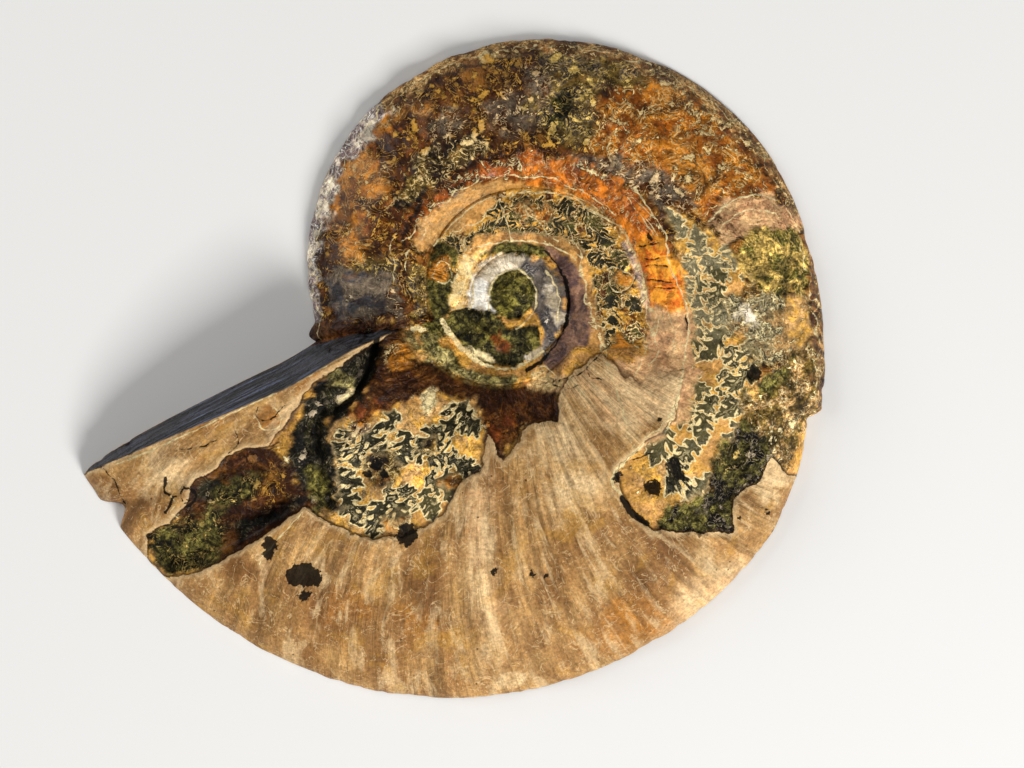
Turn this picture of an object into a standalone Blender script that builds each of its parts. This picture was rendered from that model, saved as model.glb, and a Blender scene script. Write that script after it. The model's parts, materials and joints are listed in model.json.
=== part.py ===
"""Half of an ammonite fossil, sawn in the plane of its coil and lying on the sawn face.

It is one piece of stone, so it is one solid: a flat cut below, and above it the coiled flank
with its umbilicus, the ledge where the outer shell layer is worn through, and the sloping end
of the last turn.

Places are worked out in millimetres in polar form about the middle of the coil. The angle is
in degrees and grows with the shell, clockwise as seen from above, from 0 on the -X side.
"""

import bmesh
import bpy
import numpy as np
from mathutils import Vector, noise

MM = 0.001

# The coil. Every turn is GROWTH times as wide as the one before it.
GROWTH = 2.41
RADIUS_AT_ZERO = 32.6  # the last turn's rim at angle 0
START_ANGLE = -13.0  # where the last turn comes out from under its own end
RIM_ANGLE = 337.4  # where the last turn ends
CHIP = (200.0, 222.0, 2.3)  # the rim is chipped from here to here, and how deep at first
SWELLS = (  # angle, half width in degrees, and how far the rim stands out there
    (60.0, 60.0, 0.5),
    (178.0, 38.0, -1.5),
    (290.0, 45.0, 0.8),
    (331.6, 2.4, -2.6),
    (-11.0, 4.0, 1.5),
)

# The seams between turns, as shares of the last turn's radius at the same angle.
OUTER_SEAM = 0.42
BAND_EDGE = 0.54  # the outer edge of the shell band round the umbilicus
BULGE_ANGLE, BULGE_HALF_WIDTH, BULGE = -728.0, 75.0, 0.2  # an early turn is a little fat here
CHAMBER_SEAM = 0.225  # the living chamber overlaps the turn inside it down to here
CHAMBER_START, CHAMBER_FULL = 198.0, 222.0

# Heights above the cut.
CREST_AT_ZERO = 6.9
OUTWARD_RATE, INWARD_RATE = 0.72, 0.4  # how fast the crest follows the growth of the coil
SHOULDERS = (0.24, 0.32, 0.62, 0.62)  # the share of each turn that is wall, from the last inward
WIDE_SHOULDER, WIDE_HALF_ANGLE = 0.25, 60.0  # the wall is broader where the chamber begins
WALL_CURVE, FLANK_CURVE = 1.9, 0.74
SEAM_DROP, INNER_FLANK_DROP = 0.85, 0.1
CORE_RADIUS, CORE_HEIGHT, CORE_DOME, CORE_EDGE = 3.8, 3.7, 0.8, 0.3
FILL_HEIGHT = 3.7  # rock left in the umbilicus
FILL_START, FILL_END, FILL_INNER_END, FILL_FADE = 244.0, 341.0, 326.0, 5.0
SHELL_LAYER, BAND_LAYER = 0.95, 0.35
BAND_REACH = 0.6  # half the width of the band's swelling, as a share of the band
BAND_END, BAND_GONE = 186.0, 206.0
SEAM_INSIDE, SEAM_OUTSIDE = -0.004, 0.01  # the shell layer starts over this share at the seam
LEDGE = 0.7  # how far the edge of the shell layer slopes, to each side
RIB_ANGLE, RIB_HEIGHT, RIB_SWEEP = 15.0, 0.35, 22.0
RIBS_START, RIBS_FULL = 235.0, 250.0  # angles between which the ribs grow to full height
RIB_FOOT, RIB_BODY = 0.4, 0.7  # the same across the turn, as shares of the radius
LUMP_SIZE, LUMP_HEIGHT, LUMP_LAYER = 5.0, 0.45, 3.7
LOW_FLANK = 2.5  # relief fades out below this height, towards the rim

# The end of the last turn: a flat broken face that slopes down to the cut.
RIM_BEND, BEND_FROM, BEND_TO = 5.1, 40.0, 18.0
END_SLOPE = 3.0
TIP_RADIUS = 74.4

# The part of the last turn that still has its outer shell layer, in mm from the middle.
SHELL_EDGE = (
    (-74, -31), (-18, -5), (-27.5, -11.2), (-31, -13.7), (-33.5, -16.5), (-36.5, -21),
    (-38.5, -24), (-43, -24.3), (-47, -27.2), (-50.5, -29.5), (-52, -33), (-55, -36.2),
    (-58.5, -38), (-58.5, -42), (-55, -45.2), (-50, -44), (-45, -41.5), (-40, -38.5),
    (-36, -35.5), (-33, -33.5), (-30, -35.5), (-24, -38.3), (-17, -38.5), (-11, -34.5),
    (-8, -29.5), (-5, -28), (-4, -22), (-1.5, -26.5), (1, -23), (3, -20), (7, -19.8),
    (7.5, -15), (10, -12), (14, -9), (17, -12.5), (20, -14), (24, -12), (27, -12),
    (25.5, -20), (20.5, -23.5), (16, -28), (17, -31), (19.5, -35), (22, -37.5),
    (35, -37.5), (35, -32), (39, -29.5), (41, -25.5), (43, -28), (60, -34), (50, -70),
    (0, -90), (-70, -75), (-90, -35),
)
SOFT_EDGE = (23.0, -12.0, 7.0, 2.6)  # x, y, reach, and how much wider the ledge is there
POCKET_EDGE = (
    (-58, -38), (-54, -36.5), (-51, -33), (-47, -28.5), (-41, -26), (-37, -29), (-33.5, -34),
    (-40, -38.5), (-50, -43.5), (-55.5, -44.5),
)
POCKET_DEPTH = 1.9
FISSURE = (
    (-22, -7.5), (-23, -12), (-25.5, -16.5), (-30, -18.5), (-31.5, -21), (-31, -29), (-29, -33),
)
FISSURE_WIDTH, FISSURE_DEPTH = 2.3, 2.0
TRENCH = ((24, -35), (33, -33), (36, -25), (38, -17), (46, -10))
TRENCH_WIDTH, TRENCH_DEPTH = 2.6, 1.1
FLAKE = ((47.5, -8.5), (48.5, -17))
FLAKE_WIDTH, FLAKE_HEIGHT = 2.4, 0.9
PITS = (  # x, y, radius, depth
    (37.5, -12.5, 1.9, 1.2),
    (22, -30, 2.3, 1.3),
    (-33, -44.5, 3, 0.7),
    (-38.5, -40, 2, 0.7),
    (-16.8, -38, 2, 0.6),
)
LUMPS = (  # x, y, radius, height
    (-27, -25, 3.2, 1.0),
    (-34, -22, 3, 0.9),
    (-19, -15, 3.4, 0.5),
    (41, 5, 5, 0.7),
    (-13, 20, 5, 0.5),
    (3, 34, 6, 0.6),
    (-5, -8, 4, 0.7),
)

# How finely the surface is divided.
RING_COUNTS = (2, 3, 4, 3, 24)  # between the middle, the three seams, the band and the rim
RIM_CROWDING = 0.3  # how far the rings draw together towards the rim
COLUMN_STRETCHES = (  # first and last angle, and how many columns between them
    (START_ANGLE, 190.5, 60),
    (195.0, 224.0, 13),
    (228.5, 323.5, 39),
    (326.0, RIM_ANGLE, 10),
)
BEND_START = 318.0  # from this angle the columns lean over to follow the end face
END_COLUMNS, FOOT_SPREAD = 10, 1.6
SLIDE_START, SLIDE_END = 195.0, 228.0  # where the rings move in by one turn
SAME_PLACE = 0.002
SHARP_ANGLE = 70.0

STONE_COLOUR, STONE_ROUGHNESS = (0.42, 0.27, 0.12, 1), 0.45


def ease(low, high, x):
    """Go from 0 at low to 1 at high along an S-shaped curve."""
    t = np.clip((x - low) / (high - low), 0, 1)
    return t * t * (3 - 2 * t)


def hump(x, centre, half_width):
    """A rounded hump of height 1."""
    t = np.clip(np.abs(x - centre) / half_width, 0, 1)
    return 0.5 + 0.5 * np.cos(np.pi * t)


def place(angle, radius):
    """Where a polar position lies, in mm along X and Y."""
    turned = np.radians(angle)
    return -radius * np.cos(turned), radius * np.sin(turned)


def spiral(angle):
    """The even spiral that the shell grew along."""
    return RADIUS_AT_ZERO * GROWTH ** (angle / 360)


def rim_radius(angle):
    """The rim of the last turn, with its swellings and its chip."""
    radius = spiral(angle)
    for at, half_width, height in SWELLS:
        radius = radius + height * hump(angle, at, half_width)
    start, stop, depth = CHIP
    healed = np.clip((angle - start) / (stop - start), 0, 1)
    return radius - depth * ease(start, start + 3, angle) * (1 - healed)


def crest(angle):
    """The height of a turn's crest."""
    rate = np.where(angle > 0, OUTWARD_RATE, INWARD_RATE)
    return CREST_AT_ZERO * GROWTH ** (rate * angle / 360)


def seam_share(turns_in, angle):
    """The seam outside the given turn, counted inward from the last, as a share of the radius."""
    bulge = BULGE * hump(angle - 360 * turns_in, BULGE_ANGLE, BULGE_HALF_WIDTH)
    return OUTER_SEAM * GROWTH ** (1 - turns_in) * (1 + bulge)


def last_seam(angle):
    """The inner seam of the last turn, which overlaps the turn before it at its end."""
    overlap = ease(CHAMBER_START, CHAMBER_FULL, angle)
    return OUTER_SEAM * (CHAMBER_SEAM / OUTER_SEAM) ** overlap


def turn_height(angle, across, turns_in):
    """The height of one turn, where across goes from 0 at its seam to 1 at its rim."""
    top = crest(angle)
    seam = SEAM_DROP * crest(angle - 360)
    shoulder = SHOULDERS[turns_in]
    if turns_in == 0:
        middle = (CHAMBER_START + CHAMBER_FULL) / 2
        shoulder = shoulder + WIDE_SHOULDER * hump(angle, middle, WIDE_HALF_ANGLE)
        seam = seam * (1 + (1 / SEAM_DROP - 1) * hump(angle, middle, CHAMBER_FULL - CHAMBER_START))
    wall = top - (top - seam) * np.clip(1 - across / shoulder, 0, 1) ** WALL_CURVE
    out = np.clip((across - shoulder) / (1 - shoulder), 0, 1)
    if turns_in == 0:
        flank = top * (1 - out**2) ** FLANK_CURVE
    else:
        flank = top * (1 - INNER_FLANK_DROP * out**2)
    return np.where(across < shoulder, wall, flank)


def coil_height(angle, radius):
    """The plain coil: the last turn, those inside it, and the rock in the middle."""
    share = radius / spiral(angle)
    seam = last_seam(angle)
    rim_share = rim_radius(angle) / spiral(angle)
    height = turn_height(angle, (share - seam) / (rim_share - seam), 0)
    outer = seam
    for turns_in in (1, 2, 3):
        widest = seam_share(turns_in, angle)
        inner = seam_share(turns_in + 1, angle)
        within = turn_height(angle - 360 * turns_in, (share - inner) / (widest - inner), turns_in)
        outer = np.minimum(outer, widest)
        height = np.where(share > outer - 1e-6, height, within)
    in_gap = ease(FILL_START - FILL_FADE, FILL_START + FILL_FADE, angle)
    inner_gap = in_gap * (1 - ease(FILL_INNER_END - FILL_FADE, FILL_INNER_END + FILL_FADE, angle))
    outer_gap = in_gap * (1 - ease(FILL_END - FILL_FADE, FILL_END + FILL_FADE, angle))
    filled = np.where(share < seam_share(3, angle), inner_gap, outer_gap)
    filled = filled * (share < seam_share(2, angle) - 1e-6)
    height = height + (FILL_HEIGHT - height) * filled
    core = CORE_HEIGHT - CORE_DOME * (radius / CORE_RADIUS) ** 2
    return core + (height - core) * ease(CORE_RADIUS - CORE_EDGE, CORE_RADIUS + CORE_EDGE, radius)


def edge_distance(points, x, y, closed):
    """How far each place is from a line of points, and whether it is inside a closed one."""
    count = len(points) if closed else len(points) - 1
    nearest = np.full(np.shape(x), np.inf)
    inside = np.zeros(np.shape(x), bool)
    for index in range(count):
        ax, ay = points[index]
        bx, by = points[(index + 1) % len(points)]
        along = ((x - ax) * (bx - ax) + (y - ay) * (by - ay)) / ((bx - ax) ** 2 + (by - ay) ** 2)
        along = np.clip(along, 0, 1)
        gap = np.hypot(x - ax - along * (bx - ax), y - ay - along * (by - ay))
        nearest = np.minimum(nearest, gap)
        if closed:
            crossed = (ay > y) != (by > y)
            rise = by - ay if by != ay else 1.0
            inside ^= crossed & (x < ax + (bx - ax) * (y - ay) / rise)
    return nearest, inside


def inside_by(points, x, y):
    """The distance inside a closed line, negative outside it."""
    nearest, inside = edge_distance(points, x, y, True)
    return np.where(inside, nearest, -nearest)


def groove(points, x, y, width):
    """1 along an open line, falling to 0 at the given width."""
    return hump(edge_distance(points, x, y, False)[0], 0, width)


def lumpiness(x, y):
    """Smooth random lumps between about -1 and 1."""
    scale = 1 / LUMP_SIZE
    places = [Vector((a * scale, b * scale, LUMP_LAYER)) for a, b in zip(x, y)]
    return np.array([noise.noise(one) for one in places])


def relief(angle, radius):
    """What stands above or below the plain coil: shell, ribs, pits, grooves and lumps."""
    x, y = place(angle, radius)
    share = radius / spiral(angle)
    on_last = ease(SEAM_INSIDE, SEAM_OUTSIDE, share - last_seam(angle))
    at_x, at_y, reach, wider = SOFT_EDGE
    ledge = LEDGE + wider * hump(np.hypot(x - at_x, y - at_y), 0, reach)
    shell = ease(-ledge, ledge, inside_by(SHELL_EDGE, x, y)) * on_last
    band = hump(share, (OUTER_SEAM + BAND_EDGE) / 2, (BAND_EDGE - OUTER_SEAM) * BAND_REACH)
    band = band * (1 - ease(BAND_END, BAND_GONE, angle))
    ribs = np.cos(2 * np.pi * (angle - RIB_SWEEP * share) / RIB_ANGLE)
    ribs = ribs * ease(RIBS_START, RIBS_FULL, angle) * ease(RIB_FOOT, RIB_BODY, share)
    change = SHELL_LAYER * shell + BAND_LAYER * band + RIB_HEIGHT * ribs * shell
    change = change - POCKET_DEPTH * ease(-LEDGE, 2 * LEDGE, inside_by(POCKET_EDGE, x, y))
    change = change - FISSURE_DEPTH * groove(FISSURE, x, y, FISSURE_WIDTH)
    change = change - TRENCH_DEPTH * groove(TRENCH, x, y, TRENCH_WIDTH)
    change = change + FLAKE_HEIGHT * groove(FLAKE, x, y, FLAKE_WIDTH)
    for at_x, at_y, size, depth in PITS:
        change = change - depth * hump(np.hypot(x - at_x, y - at_y), 0, size)
    for at_x, at_y, size, height in LUMPS:
        change = change + height * hump(np.hypot(x - at_x, y - at_y), 0, size)
    return change + LUMP_HEIGHT * lumpiness(x, y) * (1 - shell)


def finished_height(angle, radius):
    """The coil with its relief, which fades out where the flank turns down to the rim."""
    plain = coil_height(angle, radius)
    return plain + relief(angle, radius) * ease(0, LOW_FLANK, plain)


def end_line(radius):
    """The angle at which the last turn ends, which bends on near the umbilicus."""
    return RIM_ANGLE + RIM_BEND * (1 - ease(BEND_TO, BEND_FROM, radius))


def height_past_end(angle, radius):
    """The sloping end face, or the turn that goes on below it, whichever is higher."""
    earlier = finished_height(angle - 360, radius)
    beyond = np.radians(angle - end_line(radius))
    foot = radius * np.cos(beyond)
    face = finished_height(end_line(foot), foot) - END_SLOPE * radius * np.sin(beyond)
    outside = radius > CHAMBER_SEAM * spiral(angle)
    return np.where(outside, np.maximum(earlier, face), earlier)


def key_radii(angle):
    """The radii that the rings of vertices follow: the seams and the edge of the band."""
    slide = ease(SLIDE_START, SLIDE_END, angle)
    shares = []
    for turns_in in (3, 2, 1):
        inward = seam_share(turns_in + 1, angle) / seam_share(turns_in, angle)
        shares.append(seam_share(turns_in, angle) * inward**slide)
    shares.append(BAND_EDGE * (CHAMBER_SEAM / BAND_EDGE) ** slide)
    return [0.0] + [share * spiral(angle) for share in shares]


def ring_radii(keys, outer):
    """The radii of one column's vertices, from the middle to the rim."""
    stops = list(keys) + [outer]
    radii = [0.0]
    for index, count in enumerate(RING_COUNTS):
        start, stop = stops[index], stops[index + 1]
        steps = np.arange(1, count + 1) / count
        if index == len(RING_COUNTS) - 1:
            steps = np.sin(steps * np.pi / 2) * RIM_CROWDING + steps * (1 - RIM_CROWDING)
        radii += list(start + (stop - start) * steps)
    return np.array(radii)


def column_angles():
    """The angles of the columns of vertices, closer together where the rim is broken."""
    return np.concatenate([np.linspace(*stretch) for stretch in COLUMN_STRETCHES])


def turn_columns():
    """Positions of the columns on the last turn, up to where it ends."""
    for angle in column_angles():
        radii = ring_radii(key_radii(angle), rim_radius(angle))
        bend = ease(BEND_START, RIM_ANGLE, angle) * (end_line(radii) - RIM_ANGLE)
        angles = angle + bend
        yield angles, radii, finished_height(angles, radii)


def foot_angle(radius):
    """The angle at which the end face meets the cut."""
    rim_height = finished_height(end_line(radius), radius)
    return end_line(radius) + np.degrees(np.arcsin(rim_height / (END_SLOPE * radius)))


def end_columns():
    """Positions of the columns on the end face and on the turn below it."""
    shares = np.linspace(0, 1, END_COLUMNS + 1)[1:-1]
    feet = TIP_RADIUS + (rim_radius(START_ANGLE) - TIP_RADIUS) * shares**FOOT_SPREAD
    last_angle = START_ANGLE + 360
    keys = key_radii(RIM_ANGLE)
    for share, foot in zip(shares, feet):
        radii = ring_radii(keys, foot)
        outward = np.clip((radii - keys[-1]) / (foot - keys[-1]), 0, 1)
        even = end_line(radii) + (last_angle - end_line(radii)) * share
        foot_even = end_line(foot) + (last_angle - end_line(foot)) * share
        angles = even + outward * (foot_angle(np.array([foot]))[0] - foot_even)
        yield angles, radii, height_past_end(angles, radii)


def positions():
    """All vertex positions in metres, column by column."""
    columns = []
    for angles, radii, heights in list(turn_columns()) + list(end_columns()):
        x, y = place(angles, radii)
        heights = heights.copy()
        heights[-1] = 0.0
        columns.append(np.stack([x, y, heights], axis=1) * MM)
    columns.append(columns[0])
    return np.array(columns)


def stone_material():
    """Honey-brown fossil shell."""
    material = bpy.data.materials.new("fossil_shell")
    material.use_nodes = True
    shader = material.node_tree.nodes["Principled BSDF"]
    shader.inputs["Base Color"].default_value = STONE_COLOUR
    shader.inputs["Roughness"].default_value = STONE_ROUGHNESS
    shader.inputs["Metallic"].default_value = 0.0
    return material


def build_fossil():
    """Bend a grid into the coil, close it along its edges and fill the cut face."""
    points = positions()
    columns, rings = points.shape[:2]
    mesh = bpy.data.meshes.new("ammonite_half")
    solid = bmesh.new()
    bmesh.ops.create_grid(solid, x_segments=columns - 1, y_segments=rings - 1, size=1)
    solid.verts.ensure_lookup_table()
    for index, vertex in enumerate(solid.verts):
        vertex.co = points[index % columns, index // columns]
    bmesh.ops.remove_doubles(solid, verts=solid.verts, dist=SAME_PLACE * MM)
    bmesh.ops.triangulate(solid, faces=solid.faces, quad_method="SHORT_EDGE")
    border = [edge for edge in solid.edges if edge.is_boundary]
    bmesh.ops.holes_fill(solid, edges=border, sides=0)
    bmesh.ops.triangulate(solid, faces=solid.faces)
    bmesh.ops.recalc_face_normals(solid, faces=solid.faces)
    solid.to_mesh(mesh)
    solid.free()
    mesh.shade_smooth()
    mesh.set_sharp_from_angle(angle=np.radians(SHARP_ANGLE))
    fossil = bpy.data.objects.new("ammonite_half", mesh)
    bpy.context.scene.collection.objects.link(fossil)
    fossil.data.materials.append(stone_material())


for leftover in list(bpy.data.objects):
    bpy.data.objects.remove(leftover)
build_fossil()
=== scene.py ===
# %% [markdown]
# # Half of an ammonite fossil
#
# An ammonite is a coiled shell whose chambers filled with mineral. Sawn in the plane of its coil
# it gives two halves, each flat on one side and domed on the other. This one lies on its sawn
# face. Tan shell still covers the newest part of the coil. Where it has worn away, the stone
# beneath shows leaf-shaped sutures, amber calcite and mossy rock.
#
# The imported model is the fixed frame: it says how large the fossil is and where it lies.

# %% The frame
import json
import math

import bpy
import numpy as np
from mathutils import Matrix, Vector, noise

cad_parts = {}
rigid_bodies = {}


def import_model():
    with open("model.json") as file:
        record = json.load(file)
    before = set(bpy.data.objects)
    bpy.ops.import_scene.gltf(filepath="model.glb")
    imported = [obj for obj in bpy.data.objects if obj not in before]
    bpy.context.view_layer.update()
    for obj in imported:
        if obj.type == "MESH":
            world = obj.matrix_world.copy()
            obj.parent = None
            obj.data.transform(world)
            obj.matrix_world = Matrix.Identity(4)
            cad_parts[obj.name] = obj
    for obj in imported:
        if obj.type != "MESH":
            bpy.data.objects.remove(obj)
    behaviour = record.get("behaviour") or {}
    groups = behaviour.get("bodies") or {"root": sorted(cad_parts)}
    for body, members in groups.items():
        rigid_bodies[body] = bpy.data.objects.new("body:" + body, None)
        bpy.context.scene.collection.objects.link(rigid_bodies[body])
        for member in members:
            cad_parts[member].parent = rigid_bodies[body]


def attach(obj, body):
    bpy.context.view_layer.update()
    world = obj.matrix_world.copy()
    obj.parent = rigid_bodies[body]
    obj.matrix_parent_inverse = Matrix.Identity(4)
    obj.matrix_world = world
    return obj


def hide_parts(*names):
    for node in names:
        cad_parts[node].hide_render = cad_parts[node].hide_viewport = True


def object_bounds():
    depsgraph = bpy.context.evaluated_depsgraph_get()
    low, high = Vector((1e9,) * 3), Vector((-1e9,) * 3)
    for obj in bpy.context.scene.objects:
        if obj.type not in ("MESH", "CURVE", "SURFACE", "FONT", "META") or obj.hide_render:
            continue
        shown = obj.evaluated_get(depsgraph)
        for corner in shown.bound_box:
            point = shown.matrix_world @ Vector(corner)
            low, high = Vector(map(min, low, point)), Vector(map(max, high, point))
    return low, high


for leftover in list(bpy.data.objects):
    bpy.data.objects.remove(leftover)
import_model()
MM = 0.001
BODY = "root"
NODE = "ammonite_half"
cad_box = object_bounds()
cad_low, cad_high = (np.array(corner) / MM for corner in cad_box)
print("the solid measures", (cad_high - cad_low).round(1), "mm")

# %% [markdown]
# ## The spiral
#
# An ammonite keeps its shape as it grows: every turn is the same number of times as wide as the
# one inside it. So one formula, radius = start * growth ** (angle / 360), gives the whole coil.
# Angles are in degrees, grow with the shell and start on the -X side. Lengths are in millimetres.

# %% The size of the coil
GROWTH = 2.41
RADIUS_AT_ZERO = 32.6  # the last turn's rim at angle 0
START_ANGLE = -13  # where the last turn comes out from under its own end
RIM_ANGLE = 337.4  # where it ends
CHIP = (200, 222, 2.3)  # the rim is chipped from here to here, and how deep at first
CHIP_EASE = 3  # degrees over which the chip begins
SWELLS = (  # angle, half width in degrees, and how far the rim stands out there
    (60, 60, 0.5), (178, 38, -1.5), (290, 45, 0.8), (331.6, 2.4, -2.6), (-11, 4, 1.5),
)


def ease(low, high, x):
    """Go from 0 at low to 1 at high along an S-shaped curve."""
    t = np.clip((x - low) / (high - low), 0, 1)
    return t * t * (3 - 2 * t)


def hump(x, centre, half_width):
    """A rounded hump of height 1."""
    t = np.clip(np.abs(x - centre) / half_width, 0, 1)
    return 0.5 + 0.5 * np.cos(np.pi * t)


def place(angle, radius):
    """Where a polar position lies, in mm along X and Y."""
    turned = np.radians(angle)
    return -radius * np.cos(turned), radius * np.sin(turned)


def spiral(angle):
    """The even spiral that the shell grew along."""
    return RADIUS_AT_ZERO * GROWTH ** (angle / 360)


def rim_radius(angle):
    """The rim of the last turn, with its swellings and its chip."""
    radius = spiral(angle)
    for at, half_width, height in SWELLS:
        radius = radius + height * hump(angle, at, half_width)
    start, stop, depth = CHIP
    healed = np.clip((angle - start) / (stop - start), 0, 1)
    return radius - depth * ease(start, start + CHIP_EASE, angle) * (1 - healed)


print("the rim runs from", round(float(rim_radius(0)), 1), "to",
      round(float(rim_radius(RIM_ANGLE)), 1), "mm")

# %% [markdown]
# ## How high each turn stands
#
# Across a turn the surface climbs a wall from the seam, crosses a crest and falls down the flank
# to the rim. These are the heights that the solid was made with, so the fine surface lies on it.
# The newest part of the shell was the living chamber, which overlaps the turn inside it.

# %% Seams and heights
OUTER_SEAM = 0.42  # seams are shares of the last turn's radius at the same angle
AT_SEAM = 1e-6  # two shares this close are the same seam
BAND_EDGE = 0.54
BULGE_ANGLE, BULGE_HALF_WIDTH, BULGE = -728, 75, 0.2
CHAMBER_SEAM = 0.225
CHAMBER_START, CHAMBER_FULL = 198, 222
CREST_AT_ZERO = 6.9
OUTWARD_RATE, INWARD_RATE = 0.72, 0.4
SHOULDERS = (0.24, 0.32, 0.62, 0.62)
WIDE_SHOULDER, WIDE_HALF_ANGLE = 0.25, 60
WALL_CURVE, FLANK_CURVE = 1.9, 0.74
SEAM_DROP, INNER_FLANK_DROP = 0.85, 0.1
CORE_RADIUS, CORE_HEIGHT, CORE_DOME, CORE_EDGE = 3.8, 3.7, 0.8, 0.3
FILL_HEIGHT = 3.7  # rock left in the umbilicus
FILL_START, FILL_END, FILL_INNER_END, FILL_FADE = 244, 341, 326, 5


def crest(angle):
    """The height of a turn's crest."""
    rate = np.where(angle > 0, OUTWARD_RATE, INWARD_RATE)
    return CREST_AT_ZERO * GROWTH ** (rate * angle / 360)


def seam_share(turns_in, angle):
    """The seam outside the given turn, counted inward from the last, as a share of the radius."""
    bulge = BULGE * hump(angle - 360 * turns_in, BULGE_ANGLE, BULGE_HALF_WIDTH)
    return OUTER_SEAM * GROWTH ** (1 - turns_in) * (1 + bulge)


def last_seam(angle):
    """The inner seam of the last turn, which overlaps the turn before it at its end."""
    overlap = ease(CHAMBER_START, CHAMBER_FULL, angle)
    return OUTER_SEAM * (CHAMBER_SEAM / OUTER_SEAM) ** overlap


def turn_height(angle, across, turns_in):
    """The height of one turn, where across goes from 0 at its seam to 1 at its rim."""
    top = crest(angle)
    seam = SEAM_DROP * crest(angle - 360)
    shoulder = SHOULDERS[turns_in]
    if turns_in == 0:
        middle = (CHAMBER_START + CHAMBER_FULL) / 2
        shoulder = shoulder + WIDE_SHOULDER * hump(angle, middle, WIDE_HALF_ANGLE)
        seam = seam * (1 + (1 / SEAM_DROP - 1) * hump(angle, middle, CHAMBER_FULL - CHAMBER_START))
    wall = top - (top - seam) * np.clip(1 - across / shoulder, 0, 1) ** WALL_CURVE
    out = np.clip((across - shoulder) / (1 - shoulder), 0, 1)
    if turns_in == 0:
        flank = top * (1 - out**2) ** FLANK_CURVE
    else:
        flank = top * (1 - INNER_FLANK_DROP * out**2)
    return np.where(across < shoulder, wall, flank)


def coil_height(angle, radius):
    """The plain coil: the last turn, those inside it, and the rock in the middle."""
    share = radius / spiral(angle)
    seam = last_seam(angle)
    rim_share = rim_radius(angle) / spiral(angle)
    height = turn_height(angle, (share - seam) / (rim_share - seam), 0)
    outer = seam
    for turns_in in (1, 2, 3):
        widest = seam_share(turns_in, angle)
        inner = seam_share(turns_in + 1, angle)
        within = turn_height(angle - 360 * turns_in, (share - inner) / (widest - inner), turns_in)
        outer = np.minimum(outer, widest)
        height = np.where(share > outer - AT_SEAM, height, within)
    in_gap = ease(FILL_START - FILL_FADE, FILL_START + FILL_FADE, angle)
    inner_gap = in_gap * (1 - ease(FILL_INNER_END - FILL_FADE, FILL_INNER_END + FILL_FADE, angle))
    outer_gap = in_gap * (1 - ease(FILL_END - FILL_FADE, FILL_END + FILL_FADE, angle))
    filled = np.where(share < seam_share(3, angle), inner_gap, outer_gap)
    filled = filled * (share < seam_share(2, angle) - AT_SEAM)
    height = height + (FILL_HEIGHT - height) * filled
    core = CORE_HEIGHT - CORE_DOME * (radius / CORE_RADIUS) ** 2
    return core + (height - core) * ease(CORE_RADIUS - CORE_EDGE, CORE_RADIUS + CORE_EDGE, radius)


print("crest at the mouth:", round(float(crest(np.array(RIM_ANGLE))), 1), "mm")

# %% [markdown]
# ## Shell, breaks, pits and lumps
#
# The tan shell is a layer about a millimetre thick that ends in a broken edge. Beyond that edge
# there is a deep pocket, a fissure, a trench, some pits and low swellings. Each is a short line
# or outline. The distance to it decides how far the surface sinks or rises.

# %% Outlines of the relief, in mm from the middle of the coil
SHELL_LAYER, BAND_LAYER = 0.95, 0.35
BAND_REACH = 0.6  # half the width of the band's swelling, as a share of the band
BAND_END, BAND_GONE = 186, 206
SEAM_INSIDE, SEAM_OUTSIDE = -0.004, 0.01  # the shell layer starts over this share at the seam
RIB_ANGLE, RIB_HEIGHT, RIB_SWEEP = 15, 0.35, 22
RIBS_START, RIBS_FULL = 235, 250  # angles between which the ribs grow to full height
RIB_FOOT, RIB_BODY = 0.4, 0.7  # the same across the turn, as shares of the radius
LUMP_SIZE, LUMP_HEIGHT, LUMP_LAYER = 5, 0.45, 3.7
LOW_FLANK = 2.5  # relief fades out below this height, towards the rim
SHELL_EDGE = (
    (-74, -31), (-18, -5), (-27.5, -11.2), (-31, -13.7), (-33.5, -16.5), (-36.5, -21),
    (-38.5, -24), (-43, -24.3), (-47, -27.2), (-50.5, -29.5), (-52, -33), (-55, -36.2),
    (-58.5, -38), (-58.5, -42), (-55, -45.2), (-50, -44), (-45, -41.5), (-40, -38.5),
    (-36, -35.5), (-33, -33.5), (-30, -35.5), (-24, -38.3), (-17, -38.5), (-11, -34.5),
    (-8, -29.5), (-5, -28), (-4, -22), (-1.5, -26.5), (1, -23), (3, -20), (7, -19.8),
    (7.5, -15), (10, -12), (14, -9), (17, -12.5), (20, -14), (24, -12), (27, -12),
    (25.5, -20), (20.5, -23.5), (16, -28), (17, -31), (19.5, -35), (22, -37.5),
    (35, -37.5), (35, -32), (39, -29.5), (41, -25.5), (43, -28), (60, -34), (50, -70),
    (0, -90), (-70, -75), (-90, -35),
)
SOFT_EDGE = (23, -12, 7, 2.6)  # x, y, reach, and how much wider the ledge is there
POCKET_EDGE = (
    (-58, -38), (-54, -36.5), (-51, -33), (-47, -28.5), (-41, -26), (-37, -29), (-33.5, -34),
    (-40, -38.5), (-50, -43.5), (-55.5, -44.5),
)
POCKET_DEPTH = 1.9
GROOVES = (  # half width and rise, then the points: the fissure, the trench and a raised flake
    (2.3, -2, (-22, -7.5), (-23, -12), (-25.5, -16.5), (-30, -18.5), (-31.5, -21), (-31, -29),
     (-29, -33)),
    (2.6, -1.1, (24, -35), (33, -33), (36, -25), (38, -17), (46, -10)),
    (2.4, 0.9, (47.5, -8.5), (48.5, -17)),
)
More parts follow.
